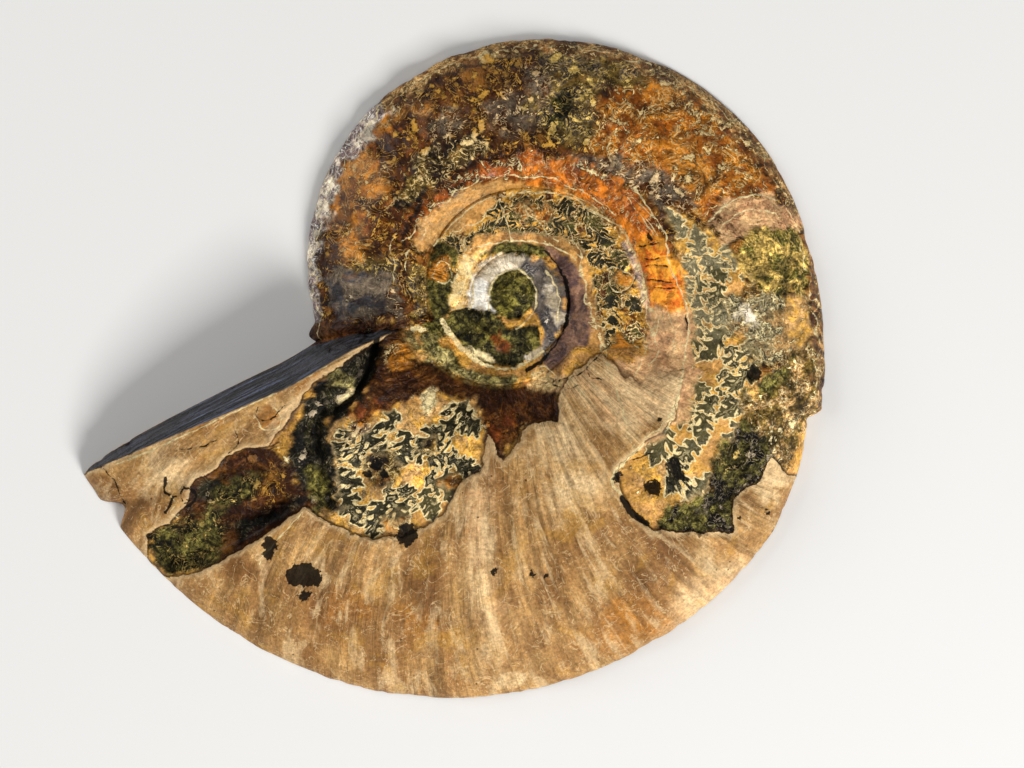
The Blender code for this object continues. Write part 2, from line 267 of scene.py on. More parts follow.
PITS_AND_LUMPS = (  # x, y, radius, rise
    (37.5, -12.5, 1.9, -1.2), (22, -30, 2.3, -1.3), (-33, -44.5, 3, -0.7), (-38.5, -40, 2, -0.7),
    (-16.8, -38, 2, -0.6), (-27, -25, 3.2, 1), (-34, -22, 3, 0.9), (-19, -15, 3.4, 0.5),
    (41, 5, 5, 0.7), (-13, 20, 5, 0.5), (3, 34, 6, 0.6), (-5, -8, 4, 0.7),
)


def along_piece(start, stop, x, y):
    """How far along a straight piece the nearest point to each place is, from 0 to 1."""
    (ax, ay), (bx, by) = start, stop
    long = (bx - ax) ** 2 + (by - ay) ** 2
    return np.clip(((x - ax) * (bx - ax) + (y - ay) * (by - ay)) / long, 0, 1)


def piece_gap(start, stop, x, y):
    """How far along a straight piece each place is, and how far from it."""
    (ax, ay), (bx, by) = start, stop
    along = along_piece(start, stop, x, y)
    return along, np.hypot(x - ax - along * (bx - ax), y - ay - along * (by - ay))


def edge_distance(points, x, y, closed):
    """How far each place is from a line of points, and whether it is inside a closed one."""
    count = len(points) if closed else len(points) - 1
    nearest = np.full(np.shape(x), np.inf)
    inside = np.zeros(np.shape(x), bool)
    for index in range(count):
        start, stop = points[index], points[(index + 1) % len(points)]
        nearest = np.minimum(nearest, piece_gap(start, stop, x, y)[1])
        if closed:
            (ax, ay), (bx, by) = start, stop
            crossed = (ay > y) != (by > y)
            rise = by - ay if by != ay else 1
            inside ^= crossed & (x < ax + (bx - ax) * (y - ay) / rise)
    return nearest, inside


def inside_by(points, x, y):
    """The distance inside a closed line, negative outside it."""
    nearest, inside = edge_distance(points, x, y, True)
    return np.where(inside, nearest, -nearest)


def groove(points, x, y, width):
    """1 along an open line, falling to 0 at the given width."""
    return hump(edge_distance(points, x, y, False)[0], 0, width)


def roughness(x, y, size, layer):
    """Smooth random hills of about the given size, between about -1 and 1."""
    flat = zip(np.ravel(x) / size, np.ravel(y) / size)
    values = [noise.noise(Vector((a, b, layer))) for a, b in flat]
    return np.reshape(values, np.shape(x))


print(len(GROOVES), "grooves and", len(PITS_AND_LUMPS), "pits and lumps")

# %% [markdown]
# The solid has soft ledges, because its faces are large. Here the broken edge of the shell is
# crisp and ragged: the distance to its outline is shifted by small random hills first.

# %% The relief on the coil
LEDGE = 0.4  # how far the edge of the shell layer slopes, to each side
RAGGED = ((2.6, 0.55, 11.3), (0.9, 0.3, 17.9))  # size of the hills, how far they shift, layer


def ragged(gap, x, y):
    """A distance to an outline, shifted so that the outline looks broken."""
    for size, shift, layer in RAGGED:
        gap = gap + shift * roughness(x, y, size, layer)
    return gap


def soft_edge(x, y):
    """1 where the shell thins out gently and has no broken edge."""
    at_x, at_y, reach, _ = SOFT_EDGE
    return hump(np.hypot(x - at_x, y - at_y), 0, reach)


def on_last_turn(angle, radius):
    """1 on the last turn, 0 inside its seam."""
    return ease(SEAM_INSIDE, SEAM_OUTSIDE, radius / spiral(angle) - last_seam(angle))


def shell_distance(angle, radius):
    """How far each place lies inside the ragged edge of the tan shell."""
    x, y = place(angle, radius)
    seam = (radius / spiral(angle) - last_seam(angle)) * spiral(angle)
    return np.minimum(ragged(inside_by(SHELL_EDGE, x, y), x, y), seam)


def relief(angle, radius):
    """What stands above or below the plain coil: shell, ribs, pits, grooves and lumps."""
    x, y = place(angle, radius)
    share = radius / spiral(angle)
    ledge = LEDGE + SOFT_EDGE[3] * soft_edge(x, y)
    shell = ease(-ledge, ledge, ragged(inside_by(SHELL_EDGE, x, y), x, y))
    shell = shell * on_last_turn(angle, radius)
    band = hump(share, (OUTER_SEAM + BAND_EDGE) / 2, (BAND_EDGE - OUTER_SEAM) * BAND_REACH)
    band = band * (1 - ease(BAND_END, BAND_GONE, angle))
    ribs = np.cos(2 * np.pi * (angle - RIB_SWEEP * share) / RIB_ANGLE)
    ribs = ribs * ease(RIBS_START, RIBS_FULL, angle) * ease(RIB_FOOT, RIB_BODY, share)
    change = SHELL_LAYER * shell + BAND_LAYER * band + RIB_HEIGHT * ribs * shell
    pocket = ragged(inside_by(POCKET_EDGE, x, y), x, y)
    change = change - POCKET_DEPTH * ease(-LEDGE, 3 * LEDGE, pocket)
    for width, rise, *points in GROOVES:
        change = change + rise * groove(points, x, y, width)
    for at_x, at_y, size, rise in PITS_AND_LUMPS:
        change = change + rise * hump(np.hypot(x - at_x, y - at_y), 0, size)
    return change + LUMP_HEIGHT * roughness(x, y, LUMP_SIZE, LUMP_LAYER) * (1 - shell)


def finished_height(angle, radius):
    """The coil with its relief, which fades out where the flank turns down to the rim."""
    plain = coil_height(angle, radius)
    return plain + relief(angle, radius) * ease(0, LOW_FLANK, plain)


print("relief in the pocket:", relief(np.array(323), np.array(58)).round(1), "mm")

# %% [markdown]
# ## The broken end
#
# The last turn ends in a flat broken face that slopes down to the cut. Its dark slate colour is
# largely painted shade. The grid of the surface goes on over this face and then over the earlier
# turn below it, until it meets its own first column again.

# %% The end of the last turn
RIM_BEND, BEND_FROM, BEND_TO = 5.1, 40, 18
END_SLOPE = 3
TIP_RADIUS = 74.4


def end_line(radius):
    """The angle at which the last turn ends, which bends on near the umbilicus."""
    return RIM_ANGLE + RIM_BEND * (1 - ease(BEND_TO, BEND_FROM, radius))


def height_past_end(angle, radius):
    """The sloping end face, the turn that goes on below it, and how far the face is above it."""
    earlier = finished_height(angle - 360, radius)
    beyond = np.radians(angle - end_line(radius))
    foot = radius * np.cos(beyond)
    face = finished_height(end_line(foot), foot) - END_SLOPE * radius * np.sin(beyond)
    above = np.where(radius > CHAMBER_SEAM * spiral(angle), face - earlier, -1)
    return earlier + np.maximum(above, 0), above


print("the end face drops", END_SLOPE, "mm for every mm along")

# %% [markdown]
# ## The grid of the surface
#
# A rectangular grid can be wound into a coil: its columns run from the middle to the rim and its
# rings follow the seams, so each seam is a clean line of edges. The rings draw closer together
# towards the rim, where the flank turns down. A saw and years of handling leave small chips in
# such a rim, so it keeps a little inside the rim of the solid.

# %% Rings and columns
RING_COUNTS = (5, 8, 19, 9, 86)  # between the middle, the three seams, the band and the rim
SUTURE_AT, SUTURE_REACH, SUTURE_CROWDING = 0.3, 0.35, 1.2  # where rings crowd under the sutures
RIM_FROM, RIM_CROWDING = 0.8, 1  # and towards the rim
COLUMN_COUNT, END_COLUMNS, FOOT_SPREAD = 716, 46, 1.6
SLIDE_START, SLIDE_END = 195, 228  # where the rings move in by one turn
BEND_START = 318  # from this angle the columns lean over to follow the end face
FIRST_RING = 0.9  # radius of the ring nearest the middle
DENSE = ((160, 240, 1.5), (280, 338, 1.6))  # from, to, and how much closer the columns stand
DENSE_EASE = 10  # degrees over which they draw closer
CHIPS = ((6, 0.5, 83), (1.6, 0.3, 89))  # size, depth and layer of small chips in the rim
CHIPS_FADE = 5  # degrees over which they fade towards both ends of the turn
RING_SAMPLES, COLUMN_SAMPLES = 200, 2000  # steps in which the crowding is added up


def key_radii(angle):
    """The radii that the rings follow: the seams and the edge of the band."""
    slide = ease(SLIDE_START, SLIDE_END, angle)
    shares = []
    for turns_in in (3, 2, 1):
        inward = seam_share(turns_in + 1, angle) / seam_share(turns_in, angle)
        shares.append(seam_share(turns_in, angle) * inward**slide)
    shares.append(BAND_EDGE * (CHAMBER_SEAM / BAND_EDGE) ** slide)
    return [FIRST_RING] + [share * spiral(angle) for share in shares]


def spread(positions, density, count):
    """Choose places so that they stand closer together where the density is higher."""
    travelled = np.concatenate([[0], np.cumsum((density[1:] + density[:-1]) / 2)])
    return np.interp(np.linspace(0, travelled[-1], count), travelled, positions)


def ring_radii(angle, outer):
    """The radii of one column's vertices, from the middle to the rim."""
    stops = key_radii(angle) + [outer]
    radii = [0, stops[0]]
    for index, count in enumerate(RING_COUNTS[:-1]):
        radii += list(np.linspace(stops[index], stops[index + 1], count + 1)[1:])
    even = np.linspace(0, 1, RING_SAMPLES)
    density = 1 + RIM_CROWDING * ease(RIM_FROM, 1, even)
    crowding = SUTURE_CROWDING * ease(SLIDE_START, SLIDE_END, angle)
    density = density + crowding * hump(even, SUTURE_AT, SUTURE_REACH)
    steps = spread(even, density, RING_COUNTS[-1] + 1)[1:]
    return np.array(radii + list(stops[-2] + (outer - stops[-2]) * steps))


def column_angles():
    """The angles of the columns, closer together where the rim or the shell is broken."""
    even = np.linspace(START_ANGLE, RIM_ANGLE, COLUMN_SAMPLES)
    density = np.ones_like(even)
    for start, stop, closer in DENSE:
        closing = ease(start, start + DENSE_EASE, even)
        density += (closer - 1) * closing * (1 - ease(stop - DENSE_EASE, stop, even))
    return spread(even, density, COLUMN_COUNT)


def chipped_rim(angle):
    """The rim with small chips, which keeps inside the rim of the solid."""
    depth = 0
    for size, deep, layer in CHIPS:
        at_x, at_y = place(angle, 1 / size * rim_radius(angle))
        depth += deep * max(0, noise.noise(Vector((at_x, at_y, layer))))
    fade = ease(START_ANGLE, START_ANGLE + CHIPS_FADE, angle)
    fade = fade * (1 - ease(RIM_ANGLE - CHIPS_FADE, RIM_ANGLE, angle))
    return rim_radius(angle) - depth * fade


def turn_columns():
    """Angles and radii of the columns on the last turn, up to where it ends."""
    for angle in column_angles():
        radii = ring_radii(angle, chipped_rim(angle))
        bend = ease(BEND_START, RIM_ANGLE, angle) * (end_line(radii) - RIM_ANGLE)
        yield angle + bend, radii


def foot_angle(radius):
    """The angle at which the end face meets the cut."""
    rim_height = finished_height(end_line(radius), radius)
    return end_line(radius) + np.degrees(np.arcsin(rim_height / (END_SLOPE * radius)))


def end_columns():
    """Angles and radii of the columns on the end face and on the turn below it."""
    shares = np.linspace(0, 1, END_COLUMNS + 1)[1:-1]
    feet = TIP_RADIUS + (rim_radius(START_ANGLE) - TIP_RADIUS) * shares**FOOT_SPREAD
    last_angle = START_ANGLE + 360
    seam = key_radii(RIM_ANGLE)[-1]
    for share, foot in zip(shares, feet):
        radii = ring_radii(RIM_ANGLE, foot)
        outward = np.clip((radii - seam) / (foot - seam), 0, 1)
        even = end_line(radii) + (last_angle - end_line(radii)) * share
        foot_even = end_line(foot) + (last_angle - end_line(foot)) * share
        yield even + outward * (foot_angle(np.array([foot]))[0] - foot_even), radii


turn = np.array(list(turn_columns()))
end = np.array(list(end_columns()))
angle = np.concatenate([turn[:, 0], end[:, 0], turn[:1, 0]])
radius = np.concatenate([turn[:, 1], end[:, 1], turn[:1, 1]])
columns, rings = angle.shape
x, y = place(angle, radius)
print(columns, "columns and", rings, "rings,", columns * rings, "places")

# %% [markdown]
# Every place on the grid now gets its height. Past the end of the last turn that is the sloping
# end face, or the turn before it where the face has gone down below that.

# %% Heights on the grid, and where the end face is
height = finished_height(angle, radius)
past_end = (angle - end_line(radius)) * np.radians(radius)
end_part = slice(len(turn), len(turn) + len(end))
height[end_part], above = height_past_end(angle[end_part], radius[end_part])
past_end[end_part] = np.minimum(past_end[end_part], above)
own_angle = angle.copy()
own_angle[end_part] -= np.where(above > 0, 0, 360)
share = radius / spiral(own_angle)
print("heights from", height.min().round(2), "to", height.max().round(2), "mm")

# %% [markdown]
# ## Paint, chosen by place
#
# No two parts of this fossil have the same colour, so the surface is painted as a person would
# paint a model: a named finish for each kind of stone, laid on in patches with soft edges. A
# finish has four colours (the ground, a second tone that mottles it, the dark leaf shapes and the
# light curls) and says how strong each pattern is there. Clear calcite is an amount as well: it
# lays painted shade and painted glow that make the stone look deep, and makes it smooth. The
# patterns themselves are drawn later, by the material, so they stay sharp however close one looks.

# %% The colours of the stone
COLOURS = {
    "tan": (152, 110, 62), "light tan": (188, 145, 88), "pale tan": (230, 196, 144),
    "brown tan": (122, 82, 42), "cream": (240, 218, 160), "peach": (204, 150, 82),
    "leaf": (82, 74, 44), "dark leaf": (44, 40, 22), "grey leaf": (106, 100, 74),
    "dark green": (38, 36, 16), "moss": (98, 90, 42), "sage": (150, 136, 84),
    "yellow green": (178, 152, 64), "green": (98, 90, 34), "olive": (116, 92, 40),
    "amber": (158, 84, 18), "honey": (212, 134, 38), "dark brown": (42, 22, 8),
    "brown": (88, 48, 14), "rust": (124, 60, 20), "black": (16, 12, 7),
    "orange": (214, 120, 32), "deep orange": (160, 80, 24), "red orange": (208, 98, 32),
    "bright orange": (242, 160, 52), "pinkish": (188, 136, 94), "pink grey": (160, 120, 92),
    "lavender": (150, 128, 124), "purple brown": (88, 66, 62), "slate": (58, 56, 58),
    "blue slate": (92, 102, 128), "warm grey": (112, 96, 76), "ash": (178, 160, 130),
    "pearl": (244, 228, 200), "blue grey": (128, 116, 110), "yellow": (220, 184, 100),
    "gold": (224, 166, 66), "lilac": (214, 178, 156),
    "white": (255, 250, 238), "golden cream": (240, 206, 140), "dusky grey": (98, 88, 80),
    "umber": (52, 24, 7), "night": (22, 14, 6), "moss gold": (218, 180, 94),
    "rose tan": (222, 176, 122), "deep honey": (186, 122, 46),
}
COLOUR_NUMBERS = 12  # a finish starts with four colours of three numbers
AMOUNTS = ("leaf", "curl", "fleck", "growth", "rough", "mottle", "glassy")
FINISHES = {  # ground, second tone, leaf shapes, curls, then the amounts; glassy is often left out
    "tan shell": ("tan, light tan, brown tan, pale tan", 0, 0.12, 0, 1, 0.1, 0.6),
    "pale shell": ("light tan, pale tan, tan, cream", 0, 0.1, 0, 1, 0.1, 0.5),
    "pink shell": ("rose tan, pale tan, brown, pale tan", 0, 0.1, 0, 1, 0.1, 0.8),
    "gold shell": ("deep honey, tan, brown, cream", 0, 0.1, 0, 1, 0.1, 0.8),
    "lobe shell": ("rose tan, cream, brown, cream", 0, 0.1, 0, 1, 0.1, 0.8),
    "brown shell": ("brown tan, tan, brown, pale tan", 0, 0.15, 0, 1, 0.15, 0.8),
    "grey leaves": ("peach, gold, leaf, cream", 1, 0.2, 0, 0, 0.2, 0.8),
    "slate leaves": ("light tan, gold, grey leaf, cream", 0.9, 0.3, 0, 0, 0.2, 0.8),
    "tan leaves": ("peach, gold, leaf, cream", 1, 0.1, 0, 0, 0.1, 0.5),
    "dark leaves": ("light tan, gold, dark leaf, cream", 1, 0.4, 0, 0, 0.3, 0.9),
    "umber leaves": ("gold, brown, dark leaf, golden cream", 1, 0.6, 0.3, 0, 0.3, 1),
    "dark amber": ("brown, umber, black, gold", 0, 0.8, 0.5, 0, 0.25, 0.8, 1),
    "amber": ("amber, brown, dark brown, gold", 0, 0.75, 0.4, 0, 0.2, 0.8, 1),
    "glowing amber": ("honey, deep honey, brown, golden cream", 0, 0.55, 0.1, 0, 0.15, 0.8, 0.8),
    "curled amber": ("amber, honey, dark brown, golden cream", 0, 0.9, 0.2, 0, 0.25, 0.9, 0.6),
    "curled olive": ("olive, warm grey, dark green, yellow", 0, 1.05, 0.7, 0, 0.6, 1, 0.3),
    "curled grey": ("warm grey, brown, dark brown, pale tan", 0, 1, 0.3, 0, 0.3, 1, 0.5),
    "curled green": ("night, olive, black, golden cream", 0, 1, 0.4, 0, 0.5, 1, 0.6),
    # a pale rim painted as a highlight, with a cool painted tint
    "purple edge": ("pearl, lavender, brown, white", 0, 0.7, 0, 1, 0.2, 1),
    "brown edge": ("brown tan, light tan, dark brown, golden cream", 0, 0.8, 0, 0.5, 0.4, 1),
    # its slate grey is painted shadow that the broken mouth casts on the start of the turn
    "shadowed slate shell": ("slate, warm grey, slate, ash", 0, 0.25, 0, 1, 0.15, 0.8, 0.3),
    "banded shell": ("rose tan, pinkish, brown, golden cream", 0, 0.3, 0, 0.5, 0.1, 0.9),
    "green bumps": ("moss gold, green, dark green, yellow", 0, 0.6, 0, 0, 0.6, 1),
    "squiggles": ("light tan, grey leaf, leaf, cream", 0.3, 1.15, 0.4, 0, 0.3, 1),
    "white burst": ("cream, pearl, tan, pearl", 0, 0.3, 0, 0, 0.1, 0.5),
    "black moss": ("moss, black, black, ash", 0, 0.4, 0.2, 0, 1, 1),
    "moss": ("moss, dark green, black, yellow", 0, 0.5, 0.2, 0, 1, 1),
    "olive slope": ("olive, light tan, black, cream", 0, 0.7, 0.2, 0, 0.8, 1),
    "green rock": ("moss, green, dark green, sage", 0, 0.15, 0.1, 0, 1, 0.9),
    "sage rock": ("sage, moss, dark green, ash", 0, 0.05, 0, 0, 0.9, 0.7),
    "brown rock": ("umber, brown, black, brown tan", 0, 0.5, 0.2, 0, 0.4, 1, 0.6),
    "rust rock": ("rust, brown, black, honey", 0, 0.1, 0.3, 0, 0.5, 1, 0.4),
    "dark strip": ("night, umber, black, honey", 0, 0.4, 0.1, 0, 0.2, 0.8, 0.5),
    "black rock": ("black, dark green, black, ash", 0, 0.2, 0.1, 0, 0.6, 0.8),
    "deep band": ("deep orange, brown, dark brown, cream", 0, 0.8, 0.4, 0.3, 0.15, 1, 0.6),
    "orange band": ("orange, deep orange, brown, cream", 0, 0.4, 0.1, 0.5, 0.1, 0.9, 0.6),
    "red band": ("bright orange, red orange, brown, gold", 0, 0.1, 0, 0.5, 0.08, 0.9, 0.2),
    "peach band": ("peach, light tan, brown tan, cream", 0, 0.1, 0, 0.4, 0.08, 0.6),
    "faded band": ("rose tan, pinkish, brown tan, pale tan", 0, 0.1, 0, 1, 0.08, 0.7),
    "lobes": ("rose tan, golden cream, brown, cream", 0, 0.3, 0.2, 0, 0.3, 0.8),
    # the purple-brown wall is darkened with painted shade, as it faces away from the key lamp
    "shaded purple wall": ("purple brown, pink grey, dark brown, tan", 0, 0, 0, 0.8, 0.05, 0.7),
    # the crest is pale in its own colour, and brighter still as a painted highlight
    "cream crest": ("golden cream, gold, brown tan, pearl", 0, 0.2, 0, 0.6, 0.05, 0.7),
    # pearl paints a highlight: the white of the side of the oldest turn that faces the key lamp
    "pearl": ("white, pearl, blue grey, white", 0, 0, 0, 0.5, 0, 0.3),
    "pearl rays": ("ash, pearl, blue grey, pearl", 0, 0.1, 0, 1, 0, 0.6),
    # the same pearly shell as painted shade, in a cool painted light
    "shaded blue pearl": ("dusky grey, slate, slate, pearl", 0, 0.3, 0, 0.6, 0, 0.9),
    "grey stripe": ("lilac, blue grey, slate, cream", 0, 0.6, 0, 0.6, 0, 0.8),
    "peach shelf": ("peach, brown tan, brown, pale tan", 0, 0, 0, 0.5, 0, 0.8),
    "core": ("green, moss, dark green, yellow green", 0, 0.3, 0.1, 0, 1, 1),
    "dark core": ("moss, dark green, black, sage", 0, 0.3, 0.1, 0, 1, 1),
    "cream spot": ("cream, light tan, tan, cream", 0, 0, 0, 0, 0.1, 0.4),
}


def linear(colour):
    """A colour from 0 to 255 as the linear values that a renderer adds light in."""
    share = np.array(colour) / 255
    return np.where(share <= 0.04045, share / 12.92, ((share + 0.055) / 1.055) ** 2.4)


def channels(finish):
    """A finish as one row of numbers: four colours, then the amounts."""
    names, *amounts = FINISHES[finish]
    amounts = [*amounts, 0][:len(AMOUNTS)]
    return np.concatenate([linear(COLOURS[name]) for name in names.split(", ")] + [amounts])


def painted(paint, *names):
    """The named amounts of a paint at every place."""
    return paint[..., [COLOUR_NUMBERS + AMOUNTS.index(name) for name in names]]


print(len(COLOURS), "colours and", len(FINISHES), "finishes")

# %% [markdown]
# Three kinds of patch are enough. A spot is an ellipse, an area is an outline, and a sweep runs
# along the spiral between two shares of its radius. Each has a softness, the width of its faded
# edge in millimetres. Later patches lie over earlier ones.

# %% Spots, areas and sweeps
def spot(finish, x, y, long, wide, soft, turned=0):
    """An ellipse with half lengths long and wide, turned counter-clockwise by some degrees."""
    return finish, soft, ("spot", x, y, long, wide, turned)


def spots(finish, *rows):
    """Several spots of one finish."""
    return [spot(finish, *row) for row in rows]


def area(finish, soft, *points):
    """The inside of an outline."""
    return finish, soft, ("area", points)


def sweep(finish, inner, outer, start, stop, soft):
    """A band along the spiral, between two shares of its radius and two angles."""
    return finish, soft, ("sweep", inner, outer, start, stop)


def distance_inside(shape, x, y, share, angle, radius):
    """How far each place lies inside a patch, in mm."""
    kind, *values = shape
    if kind == "area":
        return inside_by(values[0], x, y)
    if kind == "sweep":
        inner, outer, start, stop = values
        size = radius / np.maximum(share, 1e-3)
        across = np.minimum(share - inner, outer - share) * size
        along = np.minimum(angle - start, stop - angle) * np.radians(1) * radius
        return np.minimum(across, along)
    at_x, at_y, long, wide, turned = values
    turn = math.radians(turned)
    along = (x - at_x) * math.cos(turn) + (y - at_y) * math.sin(turn)
    aside = (y - at_y) * math.cos(turn) - (x - at_x) * math.sin(turn)
    return (1 - np.hypot(along / long, aside / wide)) * min(long, wide)


print("half-way out of a spot:", distance_inside(("spot", 0, 0, 4, 2, 0), 2, 0, 0, 0, 0), "mm")

# %% [markdown]
# The last turn has amber calcite above, leaves on the right, dark rock and leaves below the
# umbilicus, and moss-coloured rock along the mouth. Large patches come first.

# %% Patches of the last turn
PATCHES = [
    # the upper half of the last turn
    sweep("dark amber", 0.42, 1.2, -13, 200, 2),
    sweep("amber", 0.5, 1.2, 20, 62, 4),
    *spots("glowing amber", (-20.1, 28.5, 2.2, 3.2, 3, -35), (-25.6, 20.4, 2.2, 4, 2.5, -25),
           (-21.5, 18, 2, 3.4, 2.5, -20), (-27, 13, 3, 2.4, 2.5, -50)),
    spot("curled olive", -22, 3.5, 6, 3, 3, 10),
    spot("dark amber", -20, 9, 3.4, 2.6, 3, 40),
    *spots("glowing amber", (-25.5, 7.4, 2.6, 1.8, 2.5, 60), (-15.4, 30, 2, 1.6, 2)),
    *spots("dark amber", (-16.3, 33.5, 5, 1.6, 1.5, 30), (-4, 36.8, 4, 2.6, 1.5, 10),
           (-17, 24.5, 3, 2, 2, 60)),
    spot("curled grey", -10.7, 26.8, 3, 2.4, 2, 20),
    area("curled green", 2, (-20, 13), (-16, 22), (-8, 26), (-3, 24), (-5, 20), (-14, 14)),
    spot("curled grey", 1, 29, 5, 3.5, 3),
    area("curled olive", 2, (3, 40), (4.4, 35), (1.8, 30), (6, 25), (10, 23), (14.4, 26), (13, 31),
         (17, 34), (22, 37), (12, 42)),
    spot("curled grey", 4, 34, 2, 3, 2, 20),
    spot("moss", 7.5, 30, 1.6, 2.6, 1.5, -20),
    area("curled amber", 2.5, (12, 23), (16, 37), (30, 36), (44, 18), (30, 12), (21, 17)),
    *spots("glowing amber", (28, 20, 5, 2.4, 3, -40), (24, 33, 4, 2, 2.5, -40)),
    spot("curled olive", 16, 36, 5, 2.5, 2, -20),
    area("curled grey", 1.5, (9, 21.5), (16, 22.5), (24, 20), (29, 14), (25, 12), (18, 17.5)),
    sweep("dark strip", 0.535, 0.572, 22, 108, 0.6),
    # painted highlight with a cool tint along the left rim
    sweep("purple edge", 0.945, 1.2, -12, 58, 0.8),
    sweep("brown edge", 0.95, 1.2, 55, 190, 1),
    # more of the painted highlight on the left rim
    *spots("purple edge", (-29.9, 13.5, 0.9, 2.6, 1, -20), (-24.4, 24.2, 0.9, 2.4, 1, -40)),
    # painted shadow that the broken mouth casts on the start of the turn
    sweep("shadowed slate shell", 0.57, 0.9, -9, 9.5, 1),
    area("brown rock", 1, (-36, -6), (-30, -3.5), (-22, -4.5), (-16, -3), (-18, -8), (-34, -9)),
    spot("curled grey", -18, -1, 2.5, 3, 1),
    # the right side of the last turn
    area("slate leaves", 1.5, (24, 14), (33, 9.5), (37, 3), (34, -10), (26, -12), (27, 0)),
    area("banded shell", 0.8, (31, 11), (34, 15.5), (42, 16), (46, 12), (44, 9), (33, 8.5)),
    area("green bumps", 0.6, (36.6, 9.5), (38.8, 11.2), (41, 10.2), (44, 11), (46.5, 8.4),
         (47.6, 3), (46.4, -0.6), (44, 0.6), (42.6, -1.4), (39.8, -0.6), (39.2, 1.8), (36.6, 2.6),
         (35.2, 6.5)),
    spot("grey leaves", 33, 1, 4, 3, 2),
    area("squiggles", 1.5, (34, 0), (47, 0), (47, -9), (40, -11), (34, -8)),
    spot("white burst", 37.5, -3.5, 1.8, 1.8, 1.2),
    spot("slate leaves", 45, -4, 2, 4, 2, 10),
    area("grey leaves", 2, (26, -6), (36, -6), (40, -14), (36, -21), (25, -21)),
    area("tan leaves", 1.5, (26, -17), (36, -19), (33, -30), (17, -33), (16, -27), (22, -23)),
    area("olive slope", 1, (38, -27), (36, -17), (44, -9), (50, -9), (48, -20), (44, -27)),
    area("black moss", 0.8, (23, -38.5), (24, -33.5), (31, -31), (32, -25), (37, -20), (41, -24),
         (40, -30), (35, -33), (36, -38)),
    *spots("moss", (34, -26, 2.6, 2.6, 2), (41, -14, 3.5, 1.6, 1.2, 40)),
    spot("dark leaves", 24, -29, 5, 3.6, 1.5),
    sweep("brown edge", 0.955, 1.2, 176, 196, 1),
    # the left patch below the umbilicus
    area("dark leaves", 1, (-31, -20), (-22, -19), (-12, -16), (-4, -17), (-3, -30), (-12, -36),
         (-22, -39), (-31, -36)),
    spot("tan leaves", -12, -33, 6, 3.5, 2, 30),
    *spots("glowing amber", (-18.6, -36, 1.6, 1.2, 1.5), (-9.6, -29.6, 1.2, 1, 1.5)),
    spot("curled grey", -24.3, -21, 1.4, 1.2, 1),
    *spots("curled green", (-20.6, -27.4, 2.9, 2.6, 1.5), (-13.6, -24.4, 1.4, 1.6, 1)),
    area("brown rock", 0.9, (-21, -8), (-15, -10), (-4, -13.5), (3, -14), (8, -13), (8, -20),
         (2, -21), (-3, -27), (-6, -17), (-14, -15), (-20, -19), (-24, -16)),
    area("lobes", 0.6, (2, -13), (5.6, -12.4), (9, -13), (14, -10.8), (14, -15), (9.6, -16.6),
         (6.6, -15.6), (2.4, -14.6)),
    area("faded band", 1.5, (16.5, -11), (24, -9), (30, -12), (27, -20), (21, -23), (14, -16)),
    *spots("rust rock", (-23.5, -18, 2.6, 2, 0.8, 20), (-1.5, -21, 3, 2, 1.5, 40)),
    spot("cream spot", -13.2, -16.4, 1.1, 1.9, 0.5, -20),
    spot("glowing amber", -18.5, -10, 2.5, 2, 1),
    area("sage rock", 0.7, (-18, -5), (-12, -6.3), (-6, -10), (-1, -12), (-3, -14), (-9, -12.6),
         (-15, -9.5)),
    # along the mouth
    area("brown shell", 1.5, (-48, -20), (-40, -16), (-33, -13), (-34, -19), (-38, -23),
         (-47, -24)),
    area("black rock", 0.8, (-23, -6), (-20, -8), (-24, -17), (-29, -20), (-27, -34), (-33, -34),
         (-36, -26), (-34, -19), (-29, -11)),
    spot("sage rock", -28, -12.8, 2.4, 1.6, 0.7, -20),
    spot("cream spot", -26.5, -16.4, 1.4, 1, 0.5, 20),
    spot("green rock", -31, -31, 1.6, 3, 1),
    area("brown rock", 0.8, (-53, -31), (-47, -26.5), (-43, -24), (-37, -24), (-31.5, -33),
         (-40, -41.5), (-48, -45), (-53, -38)),
    spot("black rock", -47.5, -31, 3, 2, 1.5, 30),
    spot("dark amber", -38, -30.5, 2.4, 3.4, 1.5),
    spot("moss", -44, -31, 4, 2, 1.5, 30),
    # this long black spot along the lower lip of the pocket is painted shadow
    spot("black rock", -39, -35.5, 6, 1.2, 1, 27),
    area("moss", 1.2, (-59, -38), (-53, -36), (-47, -34), (-45, -37), (-48, -43), (-55.5, -45.5)),
]
print(len(PATCHES), "patches on the last turn")
